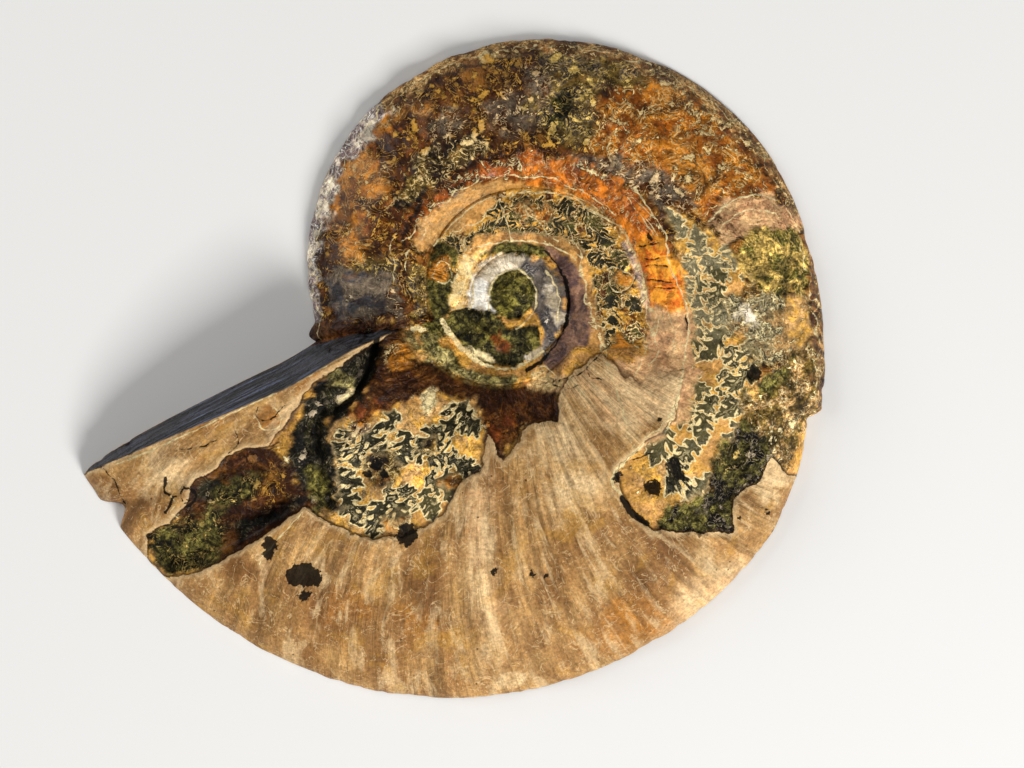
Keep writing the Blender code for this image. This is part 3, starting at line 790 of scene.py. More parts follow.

# %% [markdown]
# A smooth orange band follows the umbilicus. Inside it lie leaves in calcite, a pale crest with a
# purple wall, and pearly shell round the rock in the middle. Where these steps face the key lamp
# on the right, the crest and the pearly shell get a painted highlight; where they face away, the
# purple wall and the pearly shell get painted shade.

# %% Patches of the band and of the turns inside it
BAND_PATCHES = [
    sweep("deep band", 0.42, 0.545, -20, 100, 0.8),
    sweep("dark amber", 0.42, 0.545, -20, 32, 1.5),
    sweep("curled olive", 0.42, 0.5, -12, 16, 1),
    area("peach band", 0.4, (-15.4, 6.5), (-15.6, 9.6), (-15.1, 11.6), (-12.3, 13.8), (-9.1, 16.1),
         (-5.1, 18), (-1.4, 18.5), (2.2, 18.3), (6.5, 17.9), (10.9, 15.9), (15.2, 13.1),
         (14.5, 12), (5, 16.4), (-5, 15), (-12.5, 8)),
    sweep("orange band", 0.42, 0.545, 95, 165, 0.8),
    sweep("red band", 0.42, 0.54, 158, 190, 1),
    sweep("faded band", 0.42, 0.56, 186, 232, 1.5),
]
INNER_PATCHES = [
    # the turn inside the band
    sweep("umber leaves", 0.16, 0.425, -20, 232, 0.5),
    *spots("glowing amber", (16.9, -9, 2.6, 2.2, 1), (17.2, 2.6, 1.5, 1.3, 0.5)),
    spot("curled amber", 3.4, 13.4, 2.2, 1.2, 1, -20),
    sweep("moss", 0.3, 0.42, -20, 30, 1),
    area("green rock", 1, (-15, -7), (-15, 5), (-12.5, 9), (-9, 7), (-9, -3), (-12, -8)),
    spot("glowing amber", -11.5, 4, 1.6, 2, 0.7),
    area("grey stripe", 0.5, (17.5, 9), (19.5, 7), (21, 2.5), (22.5, -2), (24, -6), (24, -9.5),
         (22, -12), (21.5, -9), (22.3, -6), (20.8, -2), (19.6, 2), (18, 6)),
    area("faded band", 0.8, (11.5, -9), (14.5, -8.5), (16, -11.5), (20, -12.4), (23, -10.5),
         (24.5, -8), (27, -14), (25.5, -19), (14, -12), (11, -11)),
    area("lobes", 0.6, (2.6, -11.8), (5.6, -12.2), (8.4, -12.6), (11, -10.4), (13, -9), (16, -11),
         (14, -15), (8, -16), (3, -13.4)),
    area("sage rock", 0.5, (-15.2, -5), (-12.4, -5.8), (-11, -8), (-8.4, -10.7), (-5, -12.2),
         (-1, -12.9), (2, -12.6), (0, -14.4), (-5, -14.6), (-10, -12.7), (-14.5, -9.5)),
    area("peach band", 0.5, (-11, 10), (-10, 13), (-4, 16), (-3, 15), (-6, 11), (-9, 9.5)),
    # its crest and its wall
    area("peach shelf", 0.4, (-8.6, 5.5), (-6, 9.4), (-2, 10.2), (3, 9.8), (7, 9.4), (11, 7.4),
         (12.4, 4), (12.9, 0), (13.4, -4), (15, -9), (11, -12), (10, 0), (5, 7), (-5, 6.5)),
    # the pale crest on the left, with a painted highlight where it faces the key lamp
    area("cream crest", 0.4, (-10.3, -3), (-9.8, 1.5), (-8.6, 4.6), (-5.6, 7.4), (-3, 7.8),
         (-5.5, 5.6), (-7, 2), (-7, -3)),
    area("green rock", 0.3, (-5.2, 6.2), (-2.8, 8), (0, 8.5), (4.6, 7.9), (6, 6.3), (2.6, 6.2),
         (0, 6.8), (-2.8, 6.6)),
    # painted shade on the wall, which faces away from the key lamp
    area("shaded purple wall", 0.3, (4.8, 8), (8.9, 6.3), (10.5, 4), (11.6, 0.4), (12.3, -3.6),
         (12.2, -7.5), (10.2, -10.4), (7.5, -12.6), (5.6, -12.8), (5, -10), (8, -5), (8.6, 0),
         (6, 6)),
    # the oldest turns, and the rock in the middle
    area("pearl rays", 0.2, (-7, -2.3), (-7.3, 0.4), (-6.5, 3.5), (-4.8, 5.5), (-2.8, 6.6),
         (0, 6.7), (3, 6), (4, 0), (-3, -3)),
    # painted highlight on the left side of the oldest turn, which faces the key lamp
    area("pearl", 0.8, (-7, -2.3), (-7.2, 0.4), (-6.4, 3), (-4.6, 3.4), (-3, -2.5)),
    # painted shade on its right side, which faces away from the key lamp
    area("shaded blue pearl", 0.6, (1.5, 6.6), (5.3, 5.2), (7.2, 3.1), (8.2, 0.4), (8.6, -2.3),
         (7.7, -5.4), (6.5, -7.4), (5, -9.4), (4.2, -8.6), (4.8, -6.3), (4.2, -3), (3, -3), (3, 2),
         (1, 4.2)),
    spot("pearl rays", 6.6, -1, 0.9, 3.2, 1, 10),
    area("dark core", 0.3, (-10.8, -2.4), (-7.2, -2), (-3.8, -2.4), (-0.8, -5), (4, -4.8),
         (4.6, -8), (3, -10), (0, -11.4), (-4.6, -10.8), (-8.2, -8.1), (-10.6, -4.6)),
    spot("core", -4, -5.5, 3, 1.4, 1.2, -20),
    spot("rust rock", -1.7, -7.2, 0.9, 1.6, 1, 10),
    spot("cream spot", -4, -9.9, 1.4, 0.5, 0.3, -30),
    spot("pearl rays", 3.4, -9.2, 1.6, 0.6, 0.3, 35),
    spot("core", -0.2, 0.3, 3.75, 3.9, 0.2),
    spot("dark core", 1.2, -1, 1.6, 2.2, 1.5),
]
print(len(BAND_PATCHES) + len(INNER_PATCHES), "patches on the band and inside it")

# %% [markdown]
# The shell is one thin layer, but it isn't one colour: it pales where it is worn and browns where
# iron has soaked into it.

# %% Patches of the tan shell
SHELL_PATCHES = [
    spot("pink shell", 22, -11, 7, 9, 3, 10),
    spot("lobe shell", 10, -16, 5, 5, 3, 10),
    spot("pink shell", 17, -17, 6, 4, 4, -30),
    spot("pale shell", 7.5, -22, 5, 7, 4),
    *spots("pink shell", (-5, -40, 1.6, 12, 4, 4), (30, -48, 8, 3, 4, 35)),
    *spots("brown shell", (-14, -47, 3, 9, 3, 8), (8, -40, 3, 12, 4, -8), (22, -45, 4, 10, 4, -20),
           (-30, -50, 12, 3, 3, -30)),
    *spots("pale shell", (-54, -28, 5, 3, 2, -20), (-36, -18, 3, 2, 1, 30)),
    spot("brown shell", -43, -21.6, 2, 1, 1, 30),
    *spots("gold shell", (-38.7, -19.4, 2, 1.7, 0.5), (-46.1, -20.2, 2.4, 1, 1, 25),
           (-49.4, -21.6, 1.6, 0.9, 0.8, 25), (-31, -13.6, 2.4, 1.2, 0.8, 30)),
    *spots("brown shell", (-57, -33, 2.4, 1.6, 1.5, 60), (-65.4, -31, 1.6, 3, 1, 20)),
    *spots("gold shell", (-20, -52, 8, 4, 4, -20), (18, -52, 7, 4, 4, 20)),
    spot("brown shell", -43, -43, 5, 2, 3, -35),
    spot("pale shell", 9, -31.5, 5, 4, 4, 30),
    spot("brown shell", -22, -55, 6, 4, 4, -20),
    *spots("pale shell", (30.5, -43, 1.6, 3, 1), (-0.5, -61.5, 2.6, 1.4, 0.6),
           (41, -29, 2.5, 4, 1, -15)),
]
print(len(SHELL_PATCHES), "patches on the shell")

# %% [markdown]
# The finest marks are lines: pale seams where one turn meets the next, dark cracks, grooves and
# holes, and painted shadow in the groove beside the oldest turn. Each vertex keeps the way to the
# nearest one. Between two vertices on either side of a line that way passes through zero, so the
# line stays crisp even where the mesh is coarse.

# %% Pale and dark lines
PALE_LINES = (  # half width, then the points
    # the crest and the wall of the umbilicus
    (0.1, (-9.4, 2), (-8.4, 4.6), (-6.6, 7.4), (-4.7, 7.9), (-2.1, 8.6), (0.6, 8.7), (3.3, 8.6),
     (5.9, 8), (7.5, 7.3), (9.1, 6.4), (10.7, 4.7), (11.3, 2.6), (11.8, 0.4), (12.3, -1.7),
     (12.9, -3.8), (13.4, -6), (13.9, -7), (14.8, -9)),
    (0.1, (-7.7, 9), (-7.9, 6.3), (-7.4, 3.6), (-8.2, 1), (-9.5, -0.1)),
    (0.14, (-7.1, 5.2), (-6.6, 2.6), (-6.2, -0.1), (-6.9, -2)),
    # round the leaves of the inner turn
    (0.1, (-12.5, 8), (-10, 11), (-7.4, 13.4), (-5, 15), (-2.1, 16), (0.3, 16.3), (5.4, 16.4),
     (9.7, 15.4), (11.8, 13.9), (16.1, 11.4), (18.7, 7.9), (20.3, 4.2), (21.1, 1), (21.9, -1.7),
     (23.1, -3.8), (22.7, -6.5), (23, -9.2), (21.4, -11.3)),
    (0.06, (-10.1, 10), (-8.6, 10.2), (-7.4, 11.1), (-5.8, 11.4), (-4.7, 12.4), (-4.2, 13.6),
     (-2.9, 13.9), (-2.1, 15.4), (0.3, 15.9)),
    (0.07, (19.3, 6.8), (19.4, 4.4), (20.4, 2.6), (20.3, 0.2), (21.3, -1.7), (21.2, -3.6),
     (21.9, -5.4), (21.4, -8.1), (20.6, -9.8), (19.3, -12.9)),
    (0.08, (11, 6.2), (10.6, 3.6), (11.6, 1.4), (11.4, -0.8), (12.4, -2.4), (12, -4.2),
     (13.6, -5.8), (14.6, -8.2), (15.2, -11)),
    (0.05, (-2.1, 15.1), (-1.3, 12.7), (-0.7, 10.6), (-0.2, 9)),
    (0.04, (-1.3, 12.7), (-2.6, 11.8), (-3.2, 10.4)),
    (0.05, (1.8, 14.6), (2.4, 12.8), (4.3, 11.6), (5.4, 10), (7, 8.7)),
    (0.05, (8.9, 14.4), (8.4, 12.2), (8.9, 10.6), (10.2, 7.9), (11, 6.3)),
    (0.05, (11.8, 13.5), (12.3, 11.1), (13.9, 9.5), (16.1, 8.4)),
    (0.04, (12.3, 11.1), (10.6, 11.6), (9.8, 12.6)),
    (0.06, (15.5, 4.7), (15.3, 2.6), (16.1, 0.7), (18.2, 1), (19.3, 3.1), (16.6, 4.2),
     (15.5, 4.7)),
    (0.05, (12.1, -0.6), (12.3, -2.8), (13.1, -4.4), (15, -5.2), (16.1, -4.9)),
    (0.06, (19, -7.4), (19.3, -6.6), (20.1, -6.4), (20.8, -7.2), (20.5, -8.2), (19.6, -8.3),
     (19, -7.4)),
    (0.05, (-12.9, 3), (-11.6, 5.4), (-10.2, 4.8), (-9.8, 2.8), (-11.2, 1.8), (-12.9, 3)),
    # the seam below the rock in the umbilicus
    (0.4, (-11.3, -3.9), (-9.5, -6.8), (-7, -9.4), (-5, -10.9)),
    (0.2, (-5, -10.9), (-2.3, -11.6), (0.4, -11.5), (3, -10.2), (4.8, -8.9)),
    (0.6, (-6.9, -8.6), (-6.2, -9.6)),
    (0.12, (-3.8, -2.2), (-4, -0.1), (-3.2, 2.2), (-1.4, 3.8), (0.8, 4.1), (2.8, 2.7), (3.7, 0.4),
     (3.6, -1.9), (2.8, -3.4), (0.4, -5.4)),
    (0.1, (5.2, 4), (6.8, 1.6), (7.4, -1.4), (7, -4.4)),
    (0.06, (3.2, -12), (4.9, -11.3), (6.7, -12.4), (6.5, -13.4), (3.3, -12.9), (3.2, -12)),
    # between the band and the leaves outside it
    (0.12, (19.3, 17), (21.4, 13.8), (24.1, 9.5), (24.6, 5.8), (25.7, 2.6), (27.3, -1.2),
     (27.8, -4.4), (27.5, -8.1), (26.7, -13.4), (25.7, -18), (24.5, -21)),
    (0.05, (18.2, 15.4), (20.6, 12.2), (22.4, 9.4)),
    (0.05, (24.2, -1.6), (25.6, -6.2), (25.2, -11)),
    (0.05, (-17.8, 8.6), (-15.8, 9.8), (-15.1, 12.2), (-13.4, 12.6), (-12.3, 14.4), (-10.3, 14.9),
     (-9.1, 16.7), (-7.2, 17), (-5.1, 18.6), (-3, 18.5), (-1.4, 19.1), (2.2, 18.8), (6.5, 18.6),
     (8.8, 17.2), (10.9, 16.6), (15.2, 13.7), (17.4, 10.8), (19.6, 6.6)),
    (0.04, (-17, 4), (-16.8, 7), (-14.6, 8.6), (-13.6, 11.2)),
    (0.04, (-19, 2), (-18.8, 5), (-19.6, 7.4), (-18.4, 10)),
    # the tan shell
    (0.08, (-54.4, -30), (-54.7, -31.4), (-53.6, -33), (-54.4, -34.6), (-53, -35.4)),
    (0.1, (-40.8, -19), (-39.6, -21), (-37.4, -21.2), (-36.6, -19.4), (-37.6, -17.8)),
    (0.1, (-63.7, -27.2), (-56, -24), (-48, -20.4), (-40, -16.6), (-33, -13.2), (-29.5, -11.2)),
    (0.12, (31, 11.6), (33.4, 14), (37, 15.8), (41, 15.6), (44.5, 13.4)),
    (0.08, (32.4, 10), (35.4, 12.8), (39, 13.7), (43, 12.6), (45.6, 10.8)),
    (0.08, (-33, -34), (-36, -37.4), (-39, -40.6), (-40.6, -43)),
    (0.25, (20.5, -23.5), (17, -27), (15.6, -29.5), (17.6, -32)),
    (0.08, (13.9, -8), (14.6, -10.4), (16.2, -14.4), (17.2, -18), (18.8, -23.4)),
    (0.08, (20.8, -22.6), (23.6, -20.6), (25.4, -17.6), (26.6, -13)),
)
DARK_LINES = (
    # the first four lines are painted shadow in the groove between the oldest turn and the next
    # wall
    (0.1, (4.8, 7.2), (7.1, 4.9), (8.5, 1.7)),
    (0.3, (8.2, 3), (8.8, 0), (8.8, -2.4), (8.3, -5)),
    (0.1, (8.3, -5), (6.7, -8.1), (4.9, -10)),
    (0.3, (5.2, -9.8), (4.2, -10.8), (2.2, -11.9)),
    (0.5, (-21.5, -7), (-23, -12), (-25, -16), (-28, -18.5)),
    (0.22, (-55, -29), (-55.4, -31), (-54.2, -32.3), (-55.2, -34.5)),
    (0.14, (-54.2, -32.3), (-53, -31.6), (-52.4, -32.6)),
    (0.2, (-52.2, -30.4), (-50.6, -31), (-50.6, -32.8), (-52.2, -33.6)),
    (0.5, (17.4, -32.2), (18.6, -34.3), (21.2, -36.2)),
    # cracks across the orange band
    (0.07, (20.9, 6), (22.4, 5.8), (23.9, 6.1)),
    (0.08, (20.8, 4.6), (22.8, 4.8), (24.7, 4.5)),
    (0.1, (21.4, 2.6), (23.2, 2.3), (25.3, 1.9)),
    (0.06, (22.3, 1.4), (24, 1.1), (25.6, 1.1)),
    (0.05, (19.6, 7.8), (21.6, 7.9), (23.2, 8.4)),
    (0.3, (21.4, 9.6), (21.9, 8.8)),
    (0.12, (27.4, -3.3), (27.6, -5.4)),
    # cracks round the lobes and in the shell
    (0.06, (5.9, -13.4), (9.7, -12.9), (11.8, -11.3), (13.9, -9.2), (15.5, -7.6)),
    (0.05, (11.8, -11.6), (12.3, -12.9), (13.9, -13.4)),
    (0.05, (6.4, -14.2), (8.6, -14.8), (10.4, -14.2)),
    (0.08, (17.7, -26.5), (22, -25)),
    (0.06, (-66, -27), (-63.4, -29.6), (-62, -33.6)),
    (0.05, (-44, -21), (-43.4, -23.4), (-45, -25)),
    (0.05, (-53, -24.4), (-49.6, -24), (-46.4, -22.8)),
    (0.06, (-36, -17.4), (-38.4, -19.8), (-40.6, -19.2), (-40, -17.4)),
    (0.05, (15, 2.4), (15.9, 0.4), (18.4, 0.7), (19.6, 3.2)),
)
DARK_SPOTS = (  # x, y, radius
    (-33.2, -44.3, 2), (-34.6, -44.6, 1.5), (-31.4, -44.8, 1.3), (-33, -47.8, 0.9),
    (-38.5, -39.6, 1.3), (-38.9, -41.2, 0.8), (-16.8, -37.9, 1.7), (-2.9, -43.8, 0.45),
    (2.9, -44.3, 0.5), (5.1, -44.3, 0.35), (22.2, -30.6, 1.3), (25.4, -27, 1.1),
    (26.4, -28.6, 0.9), (16.5, -28.8, 0.8), (38.1, -12.3, 1.2), (-21.6, -26.8, 0.9),
    (-20.5, -28.4, 0.7), (-23, -28.3, 0.6), (35.9, -35.4, 0.35), (23.2, -19.7, 0.2),
    (40.5, -34.4, 0.4),
)
print(len(PALE_LINES) + len(DARK_LINES), "lines and", len(DARK_SPOTS), "holes")

# %% [markdown]
# Broken calcite lies in the stone as pale crumbs of all shapes. The large ones are short ellipses,
# listed one by one, each turned its own way. The small ones are left to the material.

# %% Crumbs
LIGHT_SPOTS = (  # x, y, half length, half width, turn in degrees if any
    # crumbs of calcite on the upper turn
    (-4.1, 37.9, 1.3, 0.9, 20), (-15.6, 26.8, 0.9, 0.45, 100), (-18.8, 25.7, 0.5, 0.45),
    (-11.8, 32.5, 0.5, 0.4), (-12.8, 33.4, 0.35, 0.3), (-13.8, 22.9, 0.8, 0.5, 30),
    (-7.3, 24.2, 1.1, 0.5, 20), (-6.1, 25.5, 0.9, 0.35, 70), (-5, 27, 0.5, 0.9),
    (-4.7, 31.9, 1.3, 0.35, 40), (-6.3, 31.2, 0.8, 0.25, -20), (3.6, 35.3, 0.7, 0.4),
    (3, 31, 0.4, 0.7, 20), (6.2, 26.3, 0.6, 1.4, -25), (5.6, 23.9, 0.8, 0.4),
    (6.8, 37.9, 1.1, 0.7, 30), (9.7, 35.9, 0.9, 0.7), (12.4, 33.8, 0.5, 0.9, 15),
    (12.6, 30.8, 0.5, 0.8), (10, 27.8, 0.9, 0.3, -30), (8.8, 25.3, 0.7, 0.25, 60),
    (11.8, 24.4, 0.7, 0.3, 45), (12.2, 19.7, 1.3, 0.4, -30), (14.5, 18.9, 0.6, 0.3, 20),
    (22.5, 18.4, 1.1, 0.5, 60), (25.5, 18.9, 0.9, 0.3, 80), (27.8, 18.4, 0.7, 0.6),
    (26.3, 16.3, 0.9, 0.3, -50), (24.2, 34, 0.8, 0.4, -10), (34, 27, 0.9, 0.35, 30),
    (30.8, 25.7, 1.3, 0.3, -10), (28, 21.9, 0.8, 0.6), (37.4, 24.4, 0.7, 0.4, 40),
    (20, 24.5, 0.6, 0.25, 30), (17, 27.5, 0.9, 0.2, -20), (33, 20.3, 0.6, 0.3),
    (-23.4, 18.1, 0.5, 0.2, -10), (-20.5, 20.6, 0.3, 0.25), (-26.5, 10, 0.4, 0.3),
    # the burst on the right, and pale crumbs round it
    (37.7, -3.4, 0.9, 0.9), (37.4, -1.8, 0.3, 1.2, 5), (39.2, -3.2, 1.2, 0.3),
    (36.2, -4.6, 0.9, 0.25, 40), (37.7, -25.1, 0.7, 0.45), (41, -26.5, 0.7, 1.2, 15),
    (44.5, -20.5, 0.9, 0.4, 40), (42.6, -21.6, 0.4, 0.7), (33, -33.6, 0.4, 0.3),
    # along the mouth and in the pocket
    (-40.6, -30.2, 0.45, 0.9, -20), (-36.3, -28.6, 0.5, 0.45), (-35.8, -26, 0.5, 0.7),
    (-41.2, -26, 0.7, 0.9, 20), (-48, -32.8, 0.6, 0.4), (-48.1, -40.3, 0.5, 0.3, 30),
    (-54, -34.8, 0.7, 0.6, 10), (-31.6, -18.6, 0.7, 0.5, 30), (-30.5, -17.2, 0.5, 0.3),
    (-31.4, -32.2, 0.5, 0.8), (-26.7, -16.5, 1.3, 0.8, 20), (-33.3, -25.6, 0.4, 0.9, -20),
    # below the umbilicus
    (-15.3, -5.2, 1.5, 0.5, -10), (-13.2, -16.4, 0.8, 1.3, -20), (-12.2, -14.6, 0.4, 0.3),
    (-19.6, -8.6, 0.9, 0.3, 60), (-4.2, -20.6, 0.6, 0.3, 20), (-24.6, -21.3, 1.2, 0.4, 60),
)
print(len(LIGHT_SPOTS), "crumbs")

# %% [markdown]
# A line given as a few points has corners. It is rounded through its own points first, and then
# both it and the crumbs are measured at every place of the grid. A pale rim line that runs along
# the edge of the turn needs no points, because the distance to the rim is already known.

# %% Measure the lines and spots
CURVE_STEPS = 4
LINE_WAVES = ((1.3, 0.32, 91), (0.55, 0.12, 93))  # size, shift and layer of the waves in them


def rounded(points):
    """More points along a line, so that it bends smoothly through the given ones."""
    padded = [points[0], *points, points[-1]]
    line = []
    for before, start, stop, after in zip(padded, padded[1:], padded[2:], padded[3:]):
        before, start, stop, after = map(np.array, (before, start, stop, after))
        for step in range(CURVE_STEPS):
            t = step / CURVE_STEPS
            line.append(0.5 * (2 * start + (stop - before) * t
                               + (2 * before - 5 * start + 4 * stop - after) * t**2
                               + (3 * start - before - 3 * stop + after) * t**3))
    return line + [np.array(points[-1])]


def wavy(x, y):
    """Places shifted by small waves."""
    for size, shift, layer in LINE_WAVES:
        along, aside = (shift * roughness(x, y, size, layer + more) for more in (0, 1))
        x, y = x + along, y + aside
    return x, y


def hills(x, y, *layers):
    """Random hills of several sizes on top of one another: height, size and layer of each."""
    return sum(height * roughness(x, y, size, layer) for height, size, layer in layers)


def outside_circles(circles, x, y):
    """How far each place is outside the nearest circle, negative inside it."""
    nearest = np.full(np.shape(x), np.inf)
    for at_x, at_y, size in circles:
        nearest = np.minimum(nearest, np.hypot(x - at_x, y - at_y) - size)
    return nearest


def nearest_line(lines, x, y):
    """The way to the nearest line along X and Y, its half width, and the distance to its side."""
    way_x, way_y, width = np.zeros((3, *x.shape))
    nearest = np.full(x.shape, np.inf)
    for half_width, *points in lines:
        points = rounded(points)
        for (ax, ay), (bx, by) in zip(points, points[1:]):
            along = along_piece((ax, ay), (bx, by), x, y)
            to_x, to_y = ax + along * (bx - ax) - x, ay + along * (by - ay) - y
            gap = np.hypot(to_x, to_y) - half_width
            closer = gap < nearest
            nearest = np.where(closer, gap, nearest)
            way_x, way_y = np.where(closer, to_x, way_x), np.where(closer, to_y, way_y)
            width = np.where(closer, half_width, width)
    return np.stack([way_x, way_y, width], axis=-1), nearest


RIM_LINE, RIM_LINE_HALF = 1.5, 0.05  # how far inside the rim a pale line runs, half its width
RIM_LINE_REACH = 1.2  # how far to its sides it is measured
RIM_LINE_WAVES = ((1.1, 2.4, 71), (0.4, 0.9, 73))  # height, size and layer
RIM_LINE_BREAKS = (3, 79)  # size and layer of the hills that break it

waved = wavy(x, y)
pale_way, pale_line = nearest_line(PALE_LINES, *waved)
dark_way, dark_line = nearest_line(DARK_LINES, *waved)
dark_spot = outside_circles(DARK_SPOTS, x, y)
light_spot = np.full(x.shape, np.inf)
for at_x, at_y, long, wide, *turned_by in LIGHT_SPOTS:
    crumb_shape = spot("crumb", at_x, at_y, long, wide, 0, *turned_by)[-1]
    inside = distance_inside(crumb_shape, x, y, share, angle, radius)
    light_spot = np.minimum(light_spot, -inside)
rim_gap = rim_radius(own_angle) - radius - RIM_LINE + hills(x, y, *RIM_LINE_WAVES)
at_rim = (own_angle < CHIP[0]) & (abs(rim_gap) < RIM_LINE_REACH)
rim_gap = rim_gap + 0.5 * ease(-0.1, 0.3, roughness(x, y, *RIM_LINE_BREAKS))
rim_way = np.stack([rim_gap, 0 * rim_gap, 0 * rim_gap + RIM_LINE_HALF], axis=-1)
pale_way[at_rim] = rim_way[at_rim]
pale_line[at_rim] = abs(rim_gap[at_rim]) - RIM_LINE_HALF
print("places on a pale line:", int((pale_line < 0).sum()), "and on a dark one:",
      int((dark_line < 0).sum()))

# %% [markdown]
# ## Large sutures
#
# Where the shell has gone, the folded edges of the chamber walls show as dark leaves with pale
# outlines. Each leaf is a bundle of strokes: a stem, fingers on both sides, and short twigs on
# the fingers. A stroke is a line that thins towards its tip, and the distance to the nearest
# stroke is all that is kept. On the right the leaves stand in rows, one chamber wall behind the
# other, so a loop places them. On the left they fan out, so they are listed one by one.

# %% Leaves made of strokes
SUTURE_EDGE = 0.24  # width of the pale outline
SUTURE_MARGIN = 0.1  # beyond the outline a leaf no longer hides the one under it
SUTURE_REACH_MM = 11  # no leaf is longer than this
SUTURE_SHIFT, SUTURE_HILLS = 0.35, 1.6  # how far the outlines stray, over what size
LEAF_AT_SIZE_ONE, STEM_STEPS, STRAY = 5.5, 4, 12  # length in mm, pieces, degrees
STEM, FINGER, FORK = (0.5, 0.4), (0.38, 0.33), (0.33, 0.22)  # half widths at start and end
TWIG, TIP = (0.3, 0.2), (0.4, 0.22)
FAR = 3.0  # further than this no distance is kept
ROWS = (167, 6.1, 10)  # angle of the first row, step, and how many
LOBES = (0.575, 0.088, 3)  # share of the first leaf in a row, step, and how many
PLACED_LEAVES = (  # x, y, heading in degrees, length
    (-24.6, -21.2, 235, 6), (-24.6, -21.2, 275, 6), (-24.6, -21.2, 320, 6), (-29, -28, 330, 5),
    (-27, -31, 300, 5.5), (-22.5, -28, 60, 4.5), (-20, -31, 350, 6), (-19.5, -32, 300, 5.5),
    (-21, -33, 250, 5), (-16.5, -22, 250, 5), (-15, -25, 350, 6), (-8.3, -17.5, 250, 5.5),
    (-8.3, -17.5, 300, 5), (-11.5, -21, 230, 5), (-10, -26, 340, 5), (-13.5, -29, 330, 6),
    (-14, -31, 290, 4.5), (-18, -19, 220, 4), (29.6, 6.6, 265, 6), (29.8, 6.4, 215, 4.5),
    (30.2, 6.4, 320, 4.8), (29.5, 6.5, 100, 4), (27, 9.5, 130, 4.5), (27.6, 2.4, 250, 4.2),
)


def leaf_strokes(x, y, heading, length, chance):
    """The strokes of one leaf: start, end, and the half width at each."""
    strokes, size = [], length / LEAF_AT_SIZE_ONE

    def stroke(x, y, heading, length, widths):
        turned = math.radians(heading)
        tip = (x + length * math.cos(turned), y + length * math.sin(turned))
        strokes.append(((x, y), tip, widths[0] * size, widths[1] * size))
        return tip

    for step in range(STEM_STEPS):
        tip = stroke(x, y, heading, length / STEM_STEPS, STEM)
        reach = (1 + 1.5 * math.sin(math.pi * (step + 0.6) / STEM_STEPS)) * size
        for side in (-1, 1):
            away = heading + side * (62 - 7 * step + chance.uniform(-STRAY, STRAY))
            long = reach * chance.uniform(0.75, 1.15)
            middle = stroke(x, y, away, long * 0.55, FINGER)
            stroke(*middle, away - side * 14, long * 0.5, FORK)
            stroke(*middle, away + side * 38, long * 0.42, TWIG)
        x, y = tip
        heading += chance.uniform(-STRAY, STRAY)
    stroke(x, y, heading, 0.9 * size, TIP)
    return strokes


def stroke_depth(strokes, x, y):
    """How deep inside the nearest stroke each place lies, in mm."""
    deepest = np.full(np.shape(x), -FAR)
    for start, stop, wide, narrow in strokes:
        along, gap = piece_gap(start, stop, x, y)
        deepest = np.maximum(deepest, wide + (narrow - wide) * along - gap)
    return deepest


def all_leaves():
    """Every large leaf: the rows on the right, then the placed ones."""
    chance = np.random.default_rng(5)
    first, step, count = ROWS
    inner, lobe_step, lobes = LOBES
    for row in range(count):
        for lobe in range(lobes):
            at = first + step * (row + 0.5 * (lobe % 2)) + chance.uniform(-1, 1)
            radius = (inner + lobe_step * (lobe + chance.uniform(-0.2, 0.2))) * spiral(at)
            heading = 180 - at - 90 + chance.uniform(-55, 55)
            yield leaf_strokes(*place(at, radius), heading, chance.uniform(4.6, 5.8), chance)
    for *leaf_place, length in PLACED_LEAVES:
        yield leaf_strokes(*leaf_place, length, chance)


suture = np.full(x.shape, -FAR)
shift_x, shift_y = (SUTURE_SHIFT * roughness(x, y, SUTURE_HILLS, layer) for layer in (61, 67))
leaves = list(all_leaves())
for strokes in leaves:
    (from_x, from_y), *_ = strokes[0]
    near = np.hypot(x - from_x, y - from_y) < SUTURE_REACH_MM
    inside = stroke_depth(strokes, (x + shift_x)[near], (y + shift_y)[near])
    hides = inside > -SUTURE_EDGE - SUTURE_MARGIN
    suture[near] = np.where(hides, inside, np.maximum(suture[near], inside))
print(len(leaves), "large leaves")

# %% [markdown]
# The leaves of the inner turn stand in dark clusters with bare calcite between them. Each cluster
# is a few circles. The leaves themselves are too small for the mesh: the material draws them.

# %% Clusters of small leaves
CLUSTERS = (  # x, y, radius
    (-9.6, 8.2, 1.4), (-6, 8.6, 1.5), (-7.8, 6, 1), (-3.6, 10.4, 1.8), (-2.4, 13.6, 1.7),
    (0, 11.6, 2.4), (1.4, 15, 1.5), (4, 10.6, 2.2), (5.2, 14.6, 1.5), (7.6, 11.2, 2.4),
    (8.6, 14.2, 1.3), (11, 9, 1.9), (12, 12, 2), (14.4, 9.4, 2), (13.6, 6, 1.6),
    (16.6, 5.4, 1.8), (17, 2.6, 1.4), (13.4, 2.2, 1), (15.4, -0.4, 2), (12.7, -1.6, 1),
    (18.9, -1.4, 1.4), (13.4, -4.4, 1.1), (16.2, -3.8, 1.2), (19.8, -5.4, 1.2), (16.4, -7.6, 2.2),
    (18.6, -9.8, 1.4), (15.2, -10.6, 1),
)

cluster = -np.minimum(outside_circles(CLUSTERS, x, y), FAR)
print(len(CLUSTERS), "clusters")

# %% [markdown]
# Now the patches are laid on. Their edges are shifted by small random hills, so that no edge
# runs smoothly.

# %% Lay on the paint
PATCH_EDGES = ((1.5, 2.2, 23.1), (0.9, 0.9, 29.3))  # height, size and layer of the hills
SHELL_FROM, NO_SHELL = CHAMBER_START - 30, -9  # before this angle there is no shell at all


def paint_over(paint, patches, mask):
    """Lay each patch of finish over the paint, as far as the mask lets it."""
    for finish, soft, shape in patches:
        distance = distance_inside(shape, x, y, share, own_angle, radius)
        distance = distance + edge_noise * min(1, soft)
        weight = ease(-soft / 2, soft / 2, distance) * mask
        paint += weight[..., None] * (channels(finish) - paint)


